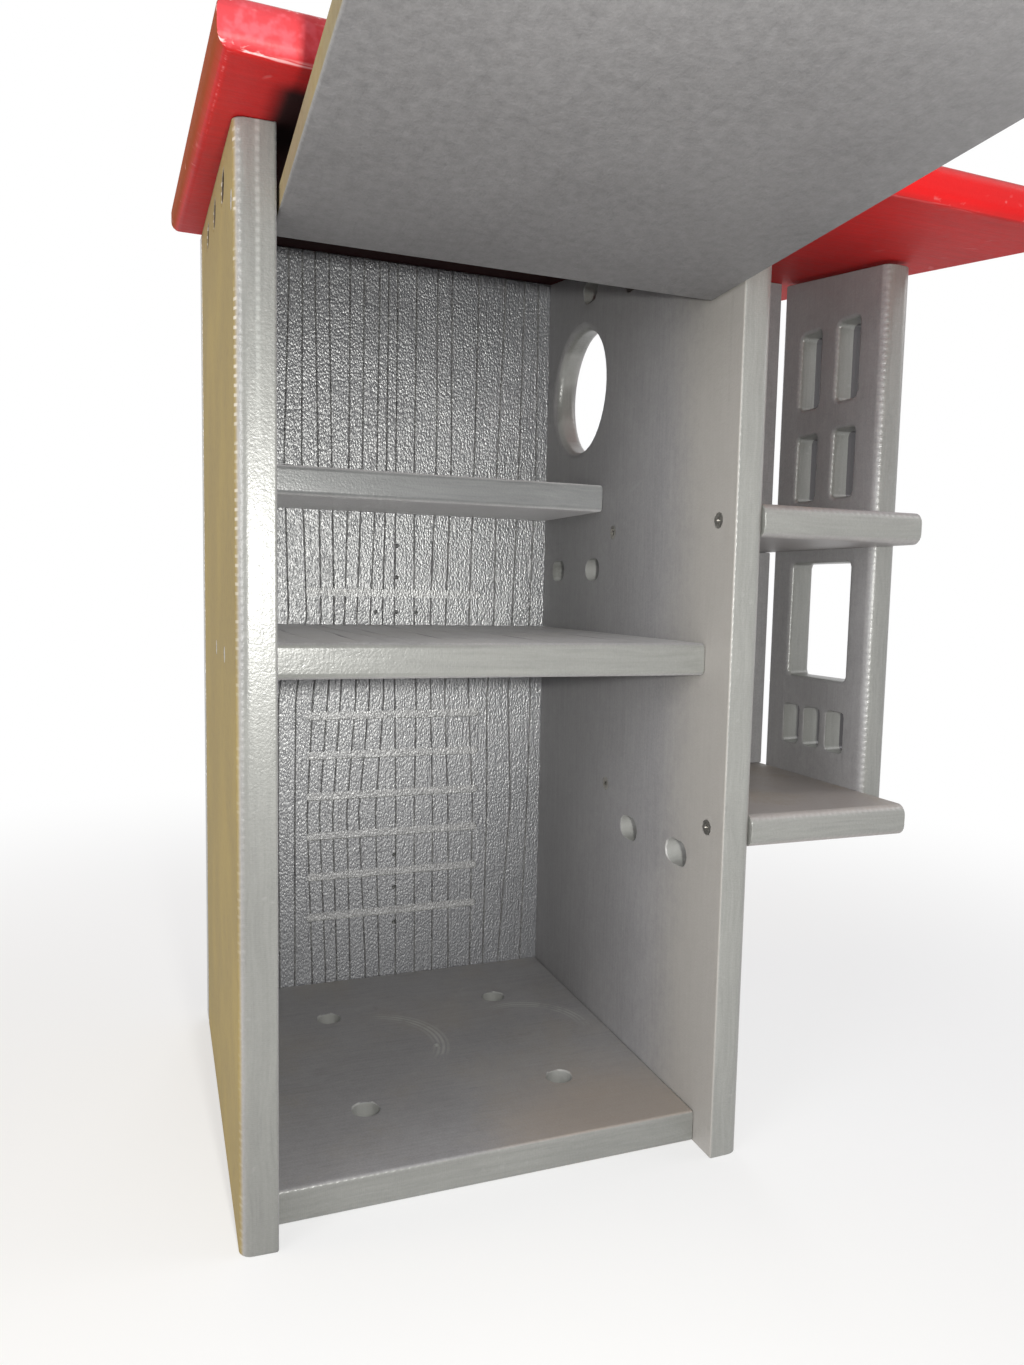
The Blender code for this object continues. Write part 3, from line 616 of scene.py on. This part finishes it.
def board_material(name, across, along, tilt=0.0, ground=None, face=1.0, edge_ground=None,
                   cut=1.0, gloss=0.40, cut_gloss=0.28, specular=0.8, retro=0.0, pebble=1.0,
                   ribs=0.00005, streak=0.25, mottle=0.26, dust=0.0, nicks=0.10, tan=0.0,
                   wear_and_light_patch=None, bore=None, shadows=(), grooves=None, ridge=None, dots=0.0,
                   arcs=0.0, grain=None):
    """Grey moulded board: pebbled faces, machined edges, cutter ripples, dust and scratches.

    across is the thickness direction and along that of the streaks. ground and edge_ground
    colour the faces and the cut edges; face and cut are painted light and shade that make
    them lighter or darker for how the light falls on each board.
    """
    looks = bpy.context.scene.board_looks
    material, tree = new_material(name)
    space = place_group(tree, "board_space", {"Tilt": -tilt, "Across": across})
    place, facing, cut_edge, arris = (
        space[part] for part in ("Place", "Facing", "Cut edge", "Arris"))
    speckle = place_group(tree, "speckle", {"Place": place})
    squeeze = tuple(0.035 if part else 1.0 for part in along)
    streaks = place_group(tree, "streaks", {"Place": place, "Along": squeeze, "Scale": 420.0})
    marks = place_group(
        tree, "cutter_marks", {"Place": place, "Along": along, "Pitch": looks.ripple_pitch})
    dirt = place_group(tree, "dust", {"Place": place, "Facing": facing, "Amount": dust})
    scratch = place_group(tree, "scratches", {"Place": place, "Scale": 160.0})["Scratch"]

    middle = (0.40 + mottle + 0.30 + streak) / 2
    shift = total_of(tree, (speckle["Fine"], 0.40), (speckle["Mottle"], mottle),
                     (speckle["Cloud"], 0.30), (streaks["Streak"], streak))
    shift = shade_value(tree, plus(tree, shift, 1.0 - middle))
    # face and cut scale this board's colours as painted light and shade
    face_colour = mix_colour(
        tree, 1.0, Vector(ground or looks.grey) * face, shift, "MULTIPLY")
    lines = total_of(tree, (streaks["Streak"], 0.40), (speckle["Cloud"], 0.24),
                     (speckle["Fine"], 0.26), (marks["Lines"], 0.04))
    lines = shade_value(tree, plus(tree, lines, 0.55))
    edge_colour = mix_colour(
        tree, 1.0, Vector(edge_ground or looks.cut_grey) * cut, lines, "MULTIPLY")
    colour = mix_colour(tree, cut_edge, face_colour, edge_colour)
    layers = [(streaks["Pore"], 0.10, PORE_DARK), (scratch, nicks, SCRATCH_PALE),
              (dirt["Dust"], 1.0, looks.dust), (dirt["Stain"], 0.55, STAIN_BROWN)]
    relief = total_of(
        tree, (speckle["Height"], 0.00010 * pebble), (streaks["Streak"], ribs),
        (times(tree, marks["Ripple"], arris), 0.00009))
    dullness = [(speckle["Mottle"], 0.12), (dirt["Dust"], 0.25), (arris, -0.04)]
    # painted warm light: tan laid on the faces that look left, which are also made duller
    if tan:
        outer = side_mask(tree, facing, TO_LEFT)
        layers += painted_warm_light_layers(tree, outer, speckle, tan)
        dullness.append((outer, 0.45))
    # soft patch of wear, which on the right wall is also painted light
    if wear_and_light_patch:
        layers.append(wear_and_light_layer(tree, place, speckle, cut_edge, wear_and_light_patch))
    # painted light and shade on the walls of the holes
    if bore:
        layers.append(bore_layer(tree, place, cut_edge, bore))
    for centre, half in shadows:
        deep = times(tree, within(tree, place, centre, half), cut_edge)
        layers.append((deep, 0.92, PANE_SHADOW))
    # painted shade in the grooves of a level face
    if grooves is not None:
        layers.append(painted_groove_shade_layer(tree, place, facing, grooves))
    # painted highlight on a cutter ridge up the front edge
    if ridge is not None:
        layers.append(painted_ridge_highlight_layer(tree, place, facing, marks["Ripple"], ridge))
    # painted highlight: pale glint dots along a rounded rim
    if dots:
        layers.append(painted_glint_dots_layer(tree, place, marks["Dots"], space["Rim"], dots))
    if arcs:
        rubbed = place_group(tree, "arcs", {"Place": place})["Arc"]
        layers.append((times(tree, rubbed, side_mask(tree, facing, Z_AXIS)), arcs, ARC_PALE))
    if grain is not None:
        wood = place_group(tree, "grain", {"Place": place, "Facing": facing, "Face": grain})
        layers += [(wood["Split"], 0.45, SPLIT_DARK),
                   (span(tree, wood["Grit"], 0.25, 0.05), 0.30, GRIT_PALE),
                   # painted shade in the grain's grooves
                   (wood["Line"], 0.80, GRAIN_PAINTED_SHADE),
                   (wood["Slot"], 0.60, SLOT_GREY),
                   # painted highlight on the grooves' ledges
                   (wood["Ledge"], 0.80, LEDGE_PAINTED_HIGHLIGHT)]
        pressed = total_of(tree, (wood["Split"], -0.00016), (wood["Grit"], -0.00038))
        relief = plus(tree, relief, pressed)

    rough = mix_value(tree, cut_edge, gloss, cut_gloss)
    rough = plus(tree, rough, total_of(tree, *dullness), True)
    finish_material(
        tree, laid_over(tree, colour, *layers), rough, relief, specular=specular, retro=retro)
    return material


def mix_value(tree, factor, low, high):
    """Blend two plain numbers by a mask."""
    return plus(tree, low, times(tree, factor, high - low))


def shade_value(tree, value):
    """Grey colour from a value."""
    return add_node(tree, "CombineColor", {0: value, 1: value, 2: value}).outputs[0]


def finish_material(tree, colour, rough, relief, metallic=0.0, specular=0.5, retro=0.0):
    """Close a material with a bump, the main shader and the output."""
    bump = add_node(tree, "Bump", {"Height": relief, "Strength": 1.0, "Distance": 1.0})
    shader = add_node(
        tree, "BsdfPrincipled",
        {"Base Color": colour, "Roughness": rough, "Normal": bump.outputs[0],
         "Metallic": metallic, "Specular IOR Level": specular, "Diffuse Roughness": retro})
    add_node(tree, "OutputMaterial", {0: shader.outputs[0]})


# Painted light on the roof's front: pale pink at the near end, bright red beyond
PAINTED_LIGHT_END_PINK, BLOTCH_PINK = (0.60, 0.12, 0.15), (0.80, 0.22, 0.27)
PAINTED_LIGHT_FRONT_RED = (0.78, 0.006, 0.008)
# Painted warm light on the roof's left side, and painted shade under the house
ROOF_PAINTED_WARM_LIGHT, ROOF_PAINTED_SHADE = (0.225, 0.050, 0.009), (0.010, 0.004, 0.004)
# Pinks of painted glint strokes on the rims, of scratches, and of painted glints on the
# rounded edges
RIM_GLINT_PINK, SCRATCH_PINK = (0.90, 0.55, 0.56), (0.88, 0.50, 0.50)
GLINT_PINK = (0.95, 0.66, 0.66)


def red_material(name, tilt):
    """Red roof board: painted light that pales the near end, brightens the far front and warms
    the left side, painted highlights on the rims, painted shade under the house, faint streaks
    and a waxy sheen.
    """
    looks = bpy.context.scene.board_looks
    material, tree = new_material(name)
    space = place_group(tree, "board_space", {"Tilt": -tilt, "Across": Z_AXIS})
    place, facing = space["Place"], space["Facing"]
    speckle = place_group(tree, "speckle", {"Place": place})
    streaks = place_group(
        tree, "streaks", {"Place": place, "Along": (0.05, 1.0, 1.0), "Scale": 330.0})
    scratch = place_group(tree, "scratches", {"Place": place, "Scale": 130.0})["Scratch"]
    shift = total_of(tree, (speckle["Fine"], 0.20), (speckle["Cloud"], 0.45),
                     (streaks["Streak"], 0.35), (speckle["Mottle"], 0.2))
    shift = shade_value(tree, plus(tree, shift, 0.40))
    colour = mix_colour(tree, 1.0, Vector(looks.red), shift, "MULTIPLY")

    near_end = span(tree, part_of(tree, place, "X"), -0.06, -0.14)
    front = side_mask(tree, facing, TO_FRONT, 0.35, 0.95)
    # painted light: lit copies of the front face, pale pink near and bright red far
    painted_light_near_front = times(tree, front, near_end)
    painted_light_far_front = times(tree, front, minus(tree, 1.0, near_end))
    # painted warm light: brown on the faces that look left
    left = side_mask(tree, facing, TO_LEFT, 0.4, 0.95)
    # painted shade on the roof's underside inside the house
    painted_roof_shade = painted_shade_under_roof(tree, place, facing)
    blotch = times(tree, painted_light_near_front, span(tree, speckle["Mottle"], 0.42, 0.66))
    # painted highlight: glint strokes along the front rims, stronger at the near end
    painted_rim_glints = times(tree, span(tree, streaks["Streak"], 0.48, 0.62), space["Rim"])
    painted_rim_glints = times(tree, painted_rim_glints, mix_value(tree, near_end, 0.25, 1.0))
    lines = vector_calc(tree, "MULTIPLY", place, (0.30, 1.0, 0.08))
    glints = span(tree, noise(tree, lines, 420.0, 3.0, 0.6), 0.56, 0.68)
    rounded = times(tree, space["Arris"], side_mask(tree, facing, TO_FRONT, 0.10, 0.50))
    glints = times(tree, times(tree, glints, rounded), mix_value(tree, near_end, 0.15, 1.0))
    scraped = times(tree, scratch, plus(tree, space["Cut edge"], 0.2))
    colour = laid_over(
        tree, colour, (painted_light_near_front, 0.36, PAINTED_LIGHT_END_PINK), (blotch, 0.25, BLOTCH_PINK),
        (painted_light_far_front, 0.60, PAINTED_LIGHT_FRONT_RED), (left, 0.92, ROOF_PAINTED_WARM_LIGHT), (painted_roof_shade, 0.97, ROOF_PAINTED_SHADE),
        (painted_rim_glints, mix_value(tree, near_end, 0.40, 0.65), RIM_GLINT_PINK),
        (scraped, 0.5, SCRATCH_PINK), (glints, 0.75, GLINT_PINK))
    dullness = total_of(
        tree, (speckle["Mottle"], 0.20), (left, 0.45),
        (side_mask(tree, facing, TO_GROUND), 0.18), (painted_roof_shade, 0.40))
    relief = total_of(tree, (speckle["Height"], 0.00006), (streaks["Streak"], 0.00010),
                      (scratch, -0.00008))
    finish_material(tree, colour, plus(tree, 0.34, dullness, True), relief, specular=0.20)
    return material


def painted_shade_under_roof(tree, place, facing):
    """Painted shade on the roof's underside between the side walls, where it is never lit."""
    down = side_mask(tree, facing, TO_GROUND)
    inner = span(tree, calc(tree, "ABSOLUTE", part_of(tree, place, "X")), 0.134, 0.122)
    back = span(tree, part_of(tree, place, "Y"), -0.125, -0.105)
    return times(tree, down, times(tree, inner, back))


def steel_material(name):
    """Plated steel with a grey bloom and specks of dark dirt."""
    steel = bpy.context.scene.screw_looks.steel
    material, tree = new_material(name)
    source = add_node(tree, "TexCoord").outputs["Object"]
    bloom = noise(tree, source, 700.0, 3.0, 0.6)
    dirt = span(tree, noise(tree, source, 1500.0, 2.0), 0.5, 0.7)
    colour = mix_colour(tree, span(tree, bloom, 0.35, 0.7), Vector(steel) * 0.72, steel)
    colour = laid_over(tree, colour, (dirt, 0.4, (0.16, 0.13, 0.10)))
    rough = plus(tree, 0.24, times(tree, bloom, 0.24))
    finish_material(tree, colour, rough, times(tree, bloom, 0.00003), metallic=1.0)
    return material


# Screws

CAD_BODIES = frame["record"]["behaviour"]["bodies"]
BODY_OF = {node: body for body, nodes in CAD_BODIES.items() for node in nodes}
ROOF_TILT = math.radians(8.0)
SCREW_AXES = [
    Vector(X_AXIS), Vector(Y_AXIS), Vector((0.0, -math.sin(ROOF_TILT), math.cos(ROOF_TILT)))]
POINT_LENGTH = 0.006


def pull_down(drop, scale):
    """Extrude the selected face down and resize it."""
    bpy.ops.mesh.extrude_region_move(TRANSFORM_OT_translate={"value": (0.0, 0.0, -drop)})
    bpy.ops.transform.resize(value=(scale, scale, 1.0))


def modelled_head_and_shank(looks):
    """Round head with a rolled rim, a cone, a core shank and a point."""
    deselect_all()
    lip, tip_length, tip_share = 0.0004, 0.005, 0.25
    bpy.ops.mesh.primitive_cylinder_add(
        vertices=28, radius=looks.head_radius, depth=lip, location=(0.0, 0.0, -lip / 2))
    screw = bpy.context.object
    mesh = edit_mesh(screw)
    for face in mesh.faces:
        face.select_set(face.normal.z < -0.9)
    bmesh.update_edit_mesh(screw.data)
    neck = looks.shank_radius / looks.head_radius
    pull_down(looks.cone_height, neck)
    pull_down(looks.length - looks.cone_height - POINT_LENGTH, 1.0)
    pull_down(tip_length, tip_share)
    mesh = edit_mesh(screw, "EDGE")
    for edge in mesh.edges:
        edge.select_set(all(abs(vert.co.z + lip / 2) <= lip / 2 + 1e-6 for vert in edge.verts)
                        and abs(edge.verts[0].co.z - edge.verts[1].co.z) < 1e-6)
    bmesh.update_edit_mesh(screw.data)
    bpy.ops.mesh.bevel(offset=0.00035, segments=3, affect="EDGES")
    leave_edit()
    return screw


def cut_cross_recess(screw):
    """Cut the tapered cross into the head."""
    reach, width, depth = 0.0054, 0.0011, 0.0036
    for size in ((reach, width), (width, reach)):
        deselect_all()
        bpy.ops.mesh.primitive_cube_add(size=1.0, location=(0.0, 0.0, 0.0))
        cutter = bpy.context.object
        mesh = edit_mesh(cutter, "VERT")
        bpy.ops.mesh.select_all(action="SELECT")
        bpy.ops.transform.resize(value=(*size, depth))
        for vert in mesh.verts:
            vert.select_set(vert.co.z < 0.0)
        bmesh.update_edit_mesh(cutter.data)
        bpy.ops.transform.resize(value=(0.55, 0.55, 1.0))
        leave_edit()
        cut = screw.modifiers.new("cross recess", "BOOLEAN")
        cut.operation = "DIFFERENCE"
        cut.solver = "EXACT"
        cut.object = cutter
        make_active(screw)
        bpy.ops.object.modifier_apply(modifier=cut.name)
        bpy.data.objects.remove(cutter)


def modelled_thread(looks):
    """Winding ridge of a coarse thread."""
    deselect_all()
    pitch, ridge = 0.0021, 0.0007
    start = (looks.thread_radius - ridge, 0.0, -looks.length + POINT_LENGTH)
    bpy.ops.mesh.primitive_circle_add(
        vertices=3, radius=ridge, location=start, rotation=(math.radians(90), 0.0, 0.0))
    thread = bpy.context.object
    bpy.ops.object.transform_apply(location=True, rotation=True, scale=True)
    wind = thread.modifiers.new("thread", "SCREW")
    wind.axis = "Z"
    wind.screw_offset = pitch
    wind.iterations = looks.turns
    wind.steps = 10
    wind.render_steps = 10
    make_active(thread)
    bpy.ops.object.modifier_apply(modifier=wind.name)
    edit_mesh(thread, "VERT")
    bpy.ops.mesh.select_all(action="SELECT")
    bpy.ops.mesh.fill_holes(sides=3)
    bpy.ops.mesh.select_all(action="SELECT")
    bpy.ops.mesh.normals_make_consistent(inside=False)
    leave_edit()
    return thread


def modelled_screw(material):
    """Countersunk screw with its head's face at the origin and its point downwards."""
    looks = bpy.context.scene.screw_looks
    screw = modelled_head_and_shank(looks)
    cut_cross_recess(screw)
    thread = modelled_thread(looks)
    make_active(screw)
    thread.select_set(True)
    bpy.ops.object.join()
    shade(screw, math.radians(35))
    screw.data.materials.clear()
    screw.data.materials.append(material)
    return screw


def screw_place(node):
    """Middle of the head's face and the way it looks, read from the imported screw."""
    points = [vert.co.copy() for vert in frame["nodes"][node].data.vertices]
    centre = sum(points, Vector()) / len(points)

    def off_line(point, axis):
        arm = point - centre
        return (arm - axis * arm.dot(axis)).length

    axis = min(SCREW_AXES, key=lambda line: max(off_line(point, line) for point in points))
    widest = max(points, key=lambda point: off_line(point, axis))
    if (widest - centre).dot(axis) < 0.0:
        axis = -axis
    reach = max((point - centre).dot(axis) for point in points)
    return centre + axis * reach, axis


def placed_screw(model, node, turn):
    """Copy the screw to a packed screw's place, with its cross turned."""
    face, axis = screw_place(node)
    piece = bpy.data.objects.new(node + "_finished", model.data.copy())
    bpy.context.scene.collection.objects.link(piece)
    aim = axis.to_track_quat("Z", "Y").to_matrix().to_4x4()
    piece.matrix_world = Matrix.Translation(face) @ aim @ Matrix.Rotation(turn, 4, "Z")
    make_active(piece)
    bpy.ops.object.transform_apply(location=True, rotation=True, scale=True)
    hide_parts(node)
    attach(piece, BODY_OF[node])


# Operators


class SQUIRRELHOUSE_OT_finishes(bpy.types.Operator):
    """Build the shared shader effects"""

    bl_idname = "squirrel_house.finishes"
    bl_label = "Build Finishes"

    def execute(self, context):
        for build in (build_board_space, build_speckle, build_streaks, build_cutter_marks,
                      build_dust, build_scratches, build_arcs, build_grain):
            build()
        return {"FINISHED"}


class SQUIRRELHOUSE_OT_side_walls(bpy.types.Operator):
    """Finish the two side walls with their round entrance and vents"""

    bl_idname = "squirrel_house.side_walls"
    bl_label = "Finish Side Walls"

    def execute(self, context):
        arris_share = 0.22
        low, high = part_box("left_side_wall")
        grey = board_material(
            "left_wall_grey", X_AXIS, Z_AXIS, cut=0.71, tan=0.95, dots=0.60,
            ridge=low[0] * 0.45 + high[0] * 0.55,
            bore=((low[0], 0.0, 0.27), (0.1, 0.125, 0.30), 0.85, BORE_PAINTED_SHADE))
        piece = finished_board(
            "left_side_wall", grey, name="left_wall_finished")
        tighten_arris(piece, (0, 1), (high[0], low[1]), arris_share)
        low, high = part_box("right_side_wall")
        grey = board_material(
            "right_wall_grey", X_AXIS, Z_AXIS, cut=0.92, streak=0.30,
            # painted light and wear: the inner face lighter and browner towards its front
            wear_and_light_patch=((0.0, low[1], 0.0), (0.0, 9.0, 0.0), 0.55, (0.40, 0.375, 0.335)),
            bore=((low[0], 0.0, 0.27), (0.1, 0.125, 0.25), 0.40, BORE_PAINTED_LIGHT))
        piece = finished_board(
            "right_side_wall", grey, name="right_wall_finished")
        tighten_arris(piece, (0, 1), (low[0], low[1]), arris_share)
        return {"FINISHED"}


class SQUIRRELHOUSE_OT_back_wall(bpy.types.Operator):
    """Finish the grooved back wall with its ladder"""

    bl_idname = "squirrel_house.back_wall"
    bl_label = "Finish Back Wall"

    def execute(self, context):
        grey = board_material(
            "back_wall_grey", Y_AXIS, Z_AXIS, ground=(0.250, 0.256, 0.284), face=0.65,
            gloss=0.34, cut_gloss=0.36, specular=3.3, pebble=1.3, ribs=0.00042, streak=0.22,
            grain=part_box("back_wall")[0][1])
        finished_board("back_wall", grey, angle=math.radians(6))
        return {"FINISHED"}


class SQUIRRELHOUSE_OT_levels(bpy.types.Operator):
    """Finish the floor board and the two inner shelves"""

    bl_idname = "squirrel_house.levels"
    bl_label = "Finish Floor and Shelves"

    def execute(self, context):
        floor = board_material(
            "floor_grey", Z_AXIS, X_AXIS, face=1.03, cut=0.82, gloss=0.55, dust=0.28,
            wear_and_light_patch=((0.080, -0.125, 0.019), (8.0, 9.0, 1.0), 0.60, (0.330, 0.270, 0.220)),
            bore=((0.0, 0.0, 0.0), (0.115, 0.105, 0.1), 0.40, BORE_PAINTED_LIGHT), arcs=0.75)
        lower = board_material(
            "lower_shelf_grey", Z_AXIS, X_AXIS, face=0.86, cut=0.88, retro=1.0, dust=0.12,
            grooves=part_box("lower_shelf")[1][2], dots=0.12)
        # painted light: the upper shelf's colours are raised for its dim underside
        upper = board_material(
            "upper_shelf_grey", Z_AXIS, X_AXIS, face=1.75, edge_ground=(0.248, 0.252, 0.256),
            cut=1.14, retro=1.0, dust=0.12, dots=0.12)
        for node, grey, arris_share in (
                ("floor_board", floor, 0.35), ("lower_shelf", lower, 0.55),
                ("upper_shelf", upper, 0.55)):
            piece = finished_board(node, grey)
            low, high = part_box(node)
            for height in (high[2], low[2]):
                tighten_arris(piece, (1, 2), (low[1], height), arris_share)
        return {"FINISHED"}


class SQUIRRELHOUSE_OT_porch(bpy.types.Operator):
    """Finish the porch boards and the panel with its cut-outs"""

    bl_idname = "squirrel_house.porch"
    bl_label = "Finish Porch"

    def execute(self, context):
        low, high = map(Vector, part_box("porch_floor"))
        level = board_material(
            "porch_level_grey", Z_AXIS, X_AXIS, cut=0.88, dust=0.9,
            wear_and_light_patch=(tuple((low + high) / 2), (5.0, 4.0, 3.0), 0.45, (0.370, 0.310, 0.270)))
        ground, shelf = high[2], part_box("porch_shelf")[1][2]
        low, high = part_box("porch_panel")
        deep_x, middle_y = high[0] - 0.0025, (low[1] + high[1]) / 2
        half_y = (high[1] - low[1]) / 2 - 0.010
        shadows = [((deep_x, middle_y, foot + tall / 2), (0.0035, half_y, tall / 2))
                   for foot, tall in ((ground, 0.055), (shelf, 0.200))]
        panel = board_material(
            "porch_panel_grey", X_AXIS, Z_AXIS, cut=0.84, shadows=shadows, dots=0.10)
        back = board_material("porch_back_grey", Y_AXIS, Z_AXIS)
        for node, grey in (
                ("porch_floor", level), ("porch_shelf", level), ("porch_panel", panel),
                ("porch_back_lower", back), ("porch_back_upper", back)):
            piece = finished_board(node, grey)
            if node == "porch_panel":
                square_far_rims(piece)
        return {"FINISHED"}


class SQUIRRELHOUSE_OT_door(bpy.types.Operator):
    """Finish the lift-up front door"""

    bl_idname = "squirrel_house.door"
    bl_label = "Finish Door"

    def execute(self, context):
        grey = board_material(
            "door_grey", Z_AXIS, Y_AXIS, tilt=math.radians(-2.3), face=0.635, cut=0.8,
            gloss=0.5, cut_gloss=0.45, streak=0.08, mottle=0.55, nicks=0.02, tan=0.60)
        finished_board("front_door", grey, body="door")
        return {"FINISHED"}


class SQUIRRELHOUSE_OT_roof(bpy.types.Operator):
    """Finish the red roof board"""

    bl_idname = "squirrel_house.roof"
    bl_label = "Finish Roof"

    def execute(self, context):
        finished_board("roof_board", red_material("roof_red", ROOF_TILT))
        return {"FINISHED"}


class SQUIRRELHOUSE_OT_screws(bpy.types.Operator):
    """Model one countersunk screw and copy it to every screw's place"""

    bl_idname = "squirrel_house.screws"
    bl_label = "Add Screws"

    def execute(self, context):
        turn_between = 0.65
        model = modelled_screw(steel_material("plated_steel"))
        for number, node in enumerate(SCREW_NODES):
            placed_screw(model, node, number * turn_between)
        bpy.data.objects.remove(model)
        return {"FINISHED"}


class SQUIRRELHOUSE_OT_stage(bpy.types.Operator):
    """Add the pale floor, the lamps and the camera"""

    bl_idname = "squirrel_house.stage"
    bl_label = "Add Stage"

    def execute(self, context):
        stage = context.scene.stage_looks
        add_floor(stage)
        add_world(stage)
        add_lamps(stage)
        add_camera(stage)
        context.scene.view_settings.view_transform = "Standard"
        return {"FINISHED"}


# Stage


def is_seen_directly(tree):
    """One for camera, glossy and transmission rays, zero for light on things."""
    path = tree.nodes.new("ShaderNodeLightPath").outputs
    seen = calc(tree, "MAXIMUM", path["Is Camera Ray"], path["Is Glossy Ray"])
    return calc(tree, "MAXIMUM", seen, path["Is Transmission Ray"])


def add_floor(stage):
    """Large pale floor that keeps the object's shadow and fades to the white background."""
    deselect_all()
    bpy.ops.mesh.primitive_plane_add(size=stage.floor_size, location=(0.0, 0.0, 0.0))
    floor = bpy.context.object
    floor.name = "studio_floor"
    material, tree = new_material("studio_floor_pale")
    diffuse = add_node(tree, "BsdfDiffuse", {"Color": (0.80, 0.80, 0.80, 1.0)})
    white = add_node(tree, "Emission", {"Color": (1.0, 1.0, 1.0, 1.0), "Strength": 1.0})
    place = add_node(tree, "TexCoord").outputs["Object"]
    reach = vector_calc(tree, "LENGTH", place)
    fade = span(tree, reach, 0.35, 1.10, 0.55, 1.0)
    clear = add_node(
        tree, "MixShader", {0: times(tree, is_seen_directly(tree), fade),
                            1: diffuse.outputs[0], 2: white.outputs[0]})
    add_node(tree, "OutputMaterial", {0: clear.outputs[0]})
    floor.data.materials.append(material)


def add_world(stage):
    """White surroundings to the eye, and an even grey fill on the object."""
    world = bpy.data.worlds.new("studio_surroundings")
    bpy.context.scene.world = world
    world.use_nodes = True
    tree = world.node_tree
    tree.nodes.clear()
    seen = is_seen_directly(tree)
    strength = span(tree, seen, 0.0, 1.0, stage.surroundings, 1.0)
    tint = mix_colour(tree, seen, (0.97, 0.96, 1.0), (1.0, 1.0, 1.0))
    back = add_node(tree, "Background", {"Color": tint, "Strength": strength})
    add_node(tree, "OutputWorld", {0: back.outputs[0]})


def camera_axes():
    """Right, up and forward directions of the photograph's camera."""
    yaw, pitch, roll = 0.370, -0.094, 0.022
    forward = Vector((
        math.sin(yaw) * math.cos(pitch), math.cos(yaw) * math.cos(pitch), math.sin(pitch)))
    right = Vector((math.cos(yaw), -math.sin(yaw), 0.0))
    up = right.cross(forward)
    turned_right = right * math.cos(roll) + up * math.sin(roll)
    turned_up = up * math.cos(roll) - right * math.sin(roll)
    return turned_right, turned_up, forward


CAMERA_PLACE = Vector((-0.17880, -0.61499, 0.33035))
FLASH_RIGHT, FLASH_UP = 0.064, 0.015
RIGHT_POWER, REAR_POWER = 14.0, 20.0


def aimed_lamp(name, place, target, size, power, colour):
    """Soft round lamp at a place, turned to its target."""
    deselect_all()
    bpy.ops.object.light_add(type="AREA", location=place)
    lamp = bpy.context.object
    lamp.name = name
    lamp.data.shape = "DISK"
    lamp.data.size = size
    lamp.data.energy = power
    lamp.data.color = colour
    aim = Vector(target) - Vector(place)
    lamp.rotation_euler = aim.to_track_quat("-Z", "Y").to_euler()
    return lamp


def add_lamps(stage):
    """Key lamp beside the camera, a warm lamp on the left, and soft lamps all round."""
    right, up, _ = camera_axes()
    key = CAMERA_PLACE + right * FLASH_RIGHT + up * FLASH_UP
    middle, white = (0.0, 0.0, 0.3), (1.0, 1.0, 1.0)
    aimed_lamp("key_lamp", key, (0.02, 0.0, 0.30), 0.026, stage.key_power, (1.0, 1.0, 0.95))
    aimed_lamp("warm_lamp", (-2.0, 0.2, 0.9), middle, 0.9, stage.warm_power, (1.0, 0.74, 0.36))
    aimed_lamp("soft_lamp", (-1.95, -1.25, 0.62), middle, 1.1, stage.soft_power, white)
    aimed_lamp("right_lamp", (2.2, -0.6, 1.6), middle, 1.4, RIGHT_POWER, white)
    aimed_lamp("rear_lamp", (0.3, 2.4, 1.7), middle, 1.4, REAR_POWER, white)


def add_camera(stage):
    """Camera at the viewing angle of the photograph."""
    deselect_all()
    bpy.ops.object.camera_add(location=CAMERA_PLACE)
    camera = bpy.context.object
    camera.name = "photo_camera"
    right, up, forward = camera_axes()
    turn = Matrix((right, up, -forward)).transposed()
    camera.matrix_world = Matrix.Translation(CAMERA_PLACE) @ turn.to_4x4()
    camera.data.sensor_fit = "HORIZONTAL"
    camera.data.sensor_width = 36.0
    camera.data.lens = stage.focal_length
    camera.data.shift_x = -0.019
    camera.data.shift_y = 0.0026
    camera.data.clip_start = 0.01
    bpy.context.scene.camera = camera


class SQUIRRELHOUSE_PT_looks(bpy.types.Panel):
    """Settings and steps of the squirrel house"""

    bl_idname = "SQUIRRELHOUSE_PT_looks"
    bl_label = "Squirrel House"
    bl_space_type = "VIEW_3D"
    bl_region_type = "UI"
    bl_category = "Squirrel House"

    def draw(self, context):
        """List the settings, then the operators in order."""
        for group in (context.scene.board_looks, context.scene.screw_looks,
                      context.scene.stage_looks):
            box = self.layout.box()
            for name in group.bl_rna.properties.keys():
                if name not in ("rna_type", "name"):
                    box.prop(group, name)
        for step in STEPS:
            self.layout.operator(step.bl_idname)


STEPS = (
    SQUIRRELHOUSE_OT_stage,
    SQUIRRELHOUSE_OT_finishes,
    SQUIRRELHOUSE_OT_side_walls,
    SQUIRRELHOUSE_OT_back_wall,
    SQUIRRELHOUSE_OT_levels,
    SQUIRRELHOUSE_OT_porch,
    SQUIRRELHOUSE_OT_door,
    SQUIRRELHOUSE_OT_roof,
    SQUIRRELHOUSE_OT_screws,
)
SETTINGS = {
    "board_looks": BoardSettings,
    "screw_looks": ScrewSettings,
    "stage_looks": StageSettings,
}


def register():
    """Register the classes and hang the settings on the scene."""
    for group in SETTINGS.values():
        bpy.utils.register_class(group)
    for name, group in SETTINGS.items():
        setattr(bpy.types.Scene, name, PointerProperty(type=group))
    for step in STEPS + (SQUIRRELHOUSE_PT_looks,):
        bpy.utils.register_class(step)


def unregister():
    """Undo register."""
    for step in (SQUIRRELHOUSE_PT_looks,) + STEPS[::-1]:
        bpy.utils.unregister_class(step)
    for name in SETTINGS:
        delattr(bpy.types.Scene, name)
    for group in SETTINGS.values():
        bpy.utils.unregister_class(group)


def main():
    """Run every step in order."""
    register()
    for step in STEPS:
        group, name = step.bl_idname.split(".")
        getattr(getattr(bpy.ops, group), name)()
    bpy.context.view_layer.update()


if __name__ == "__main__":
    main()
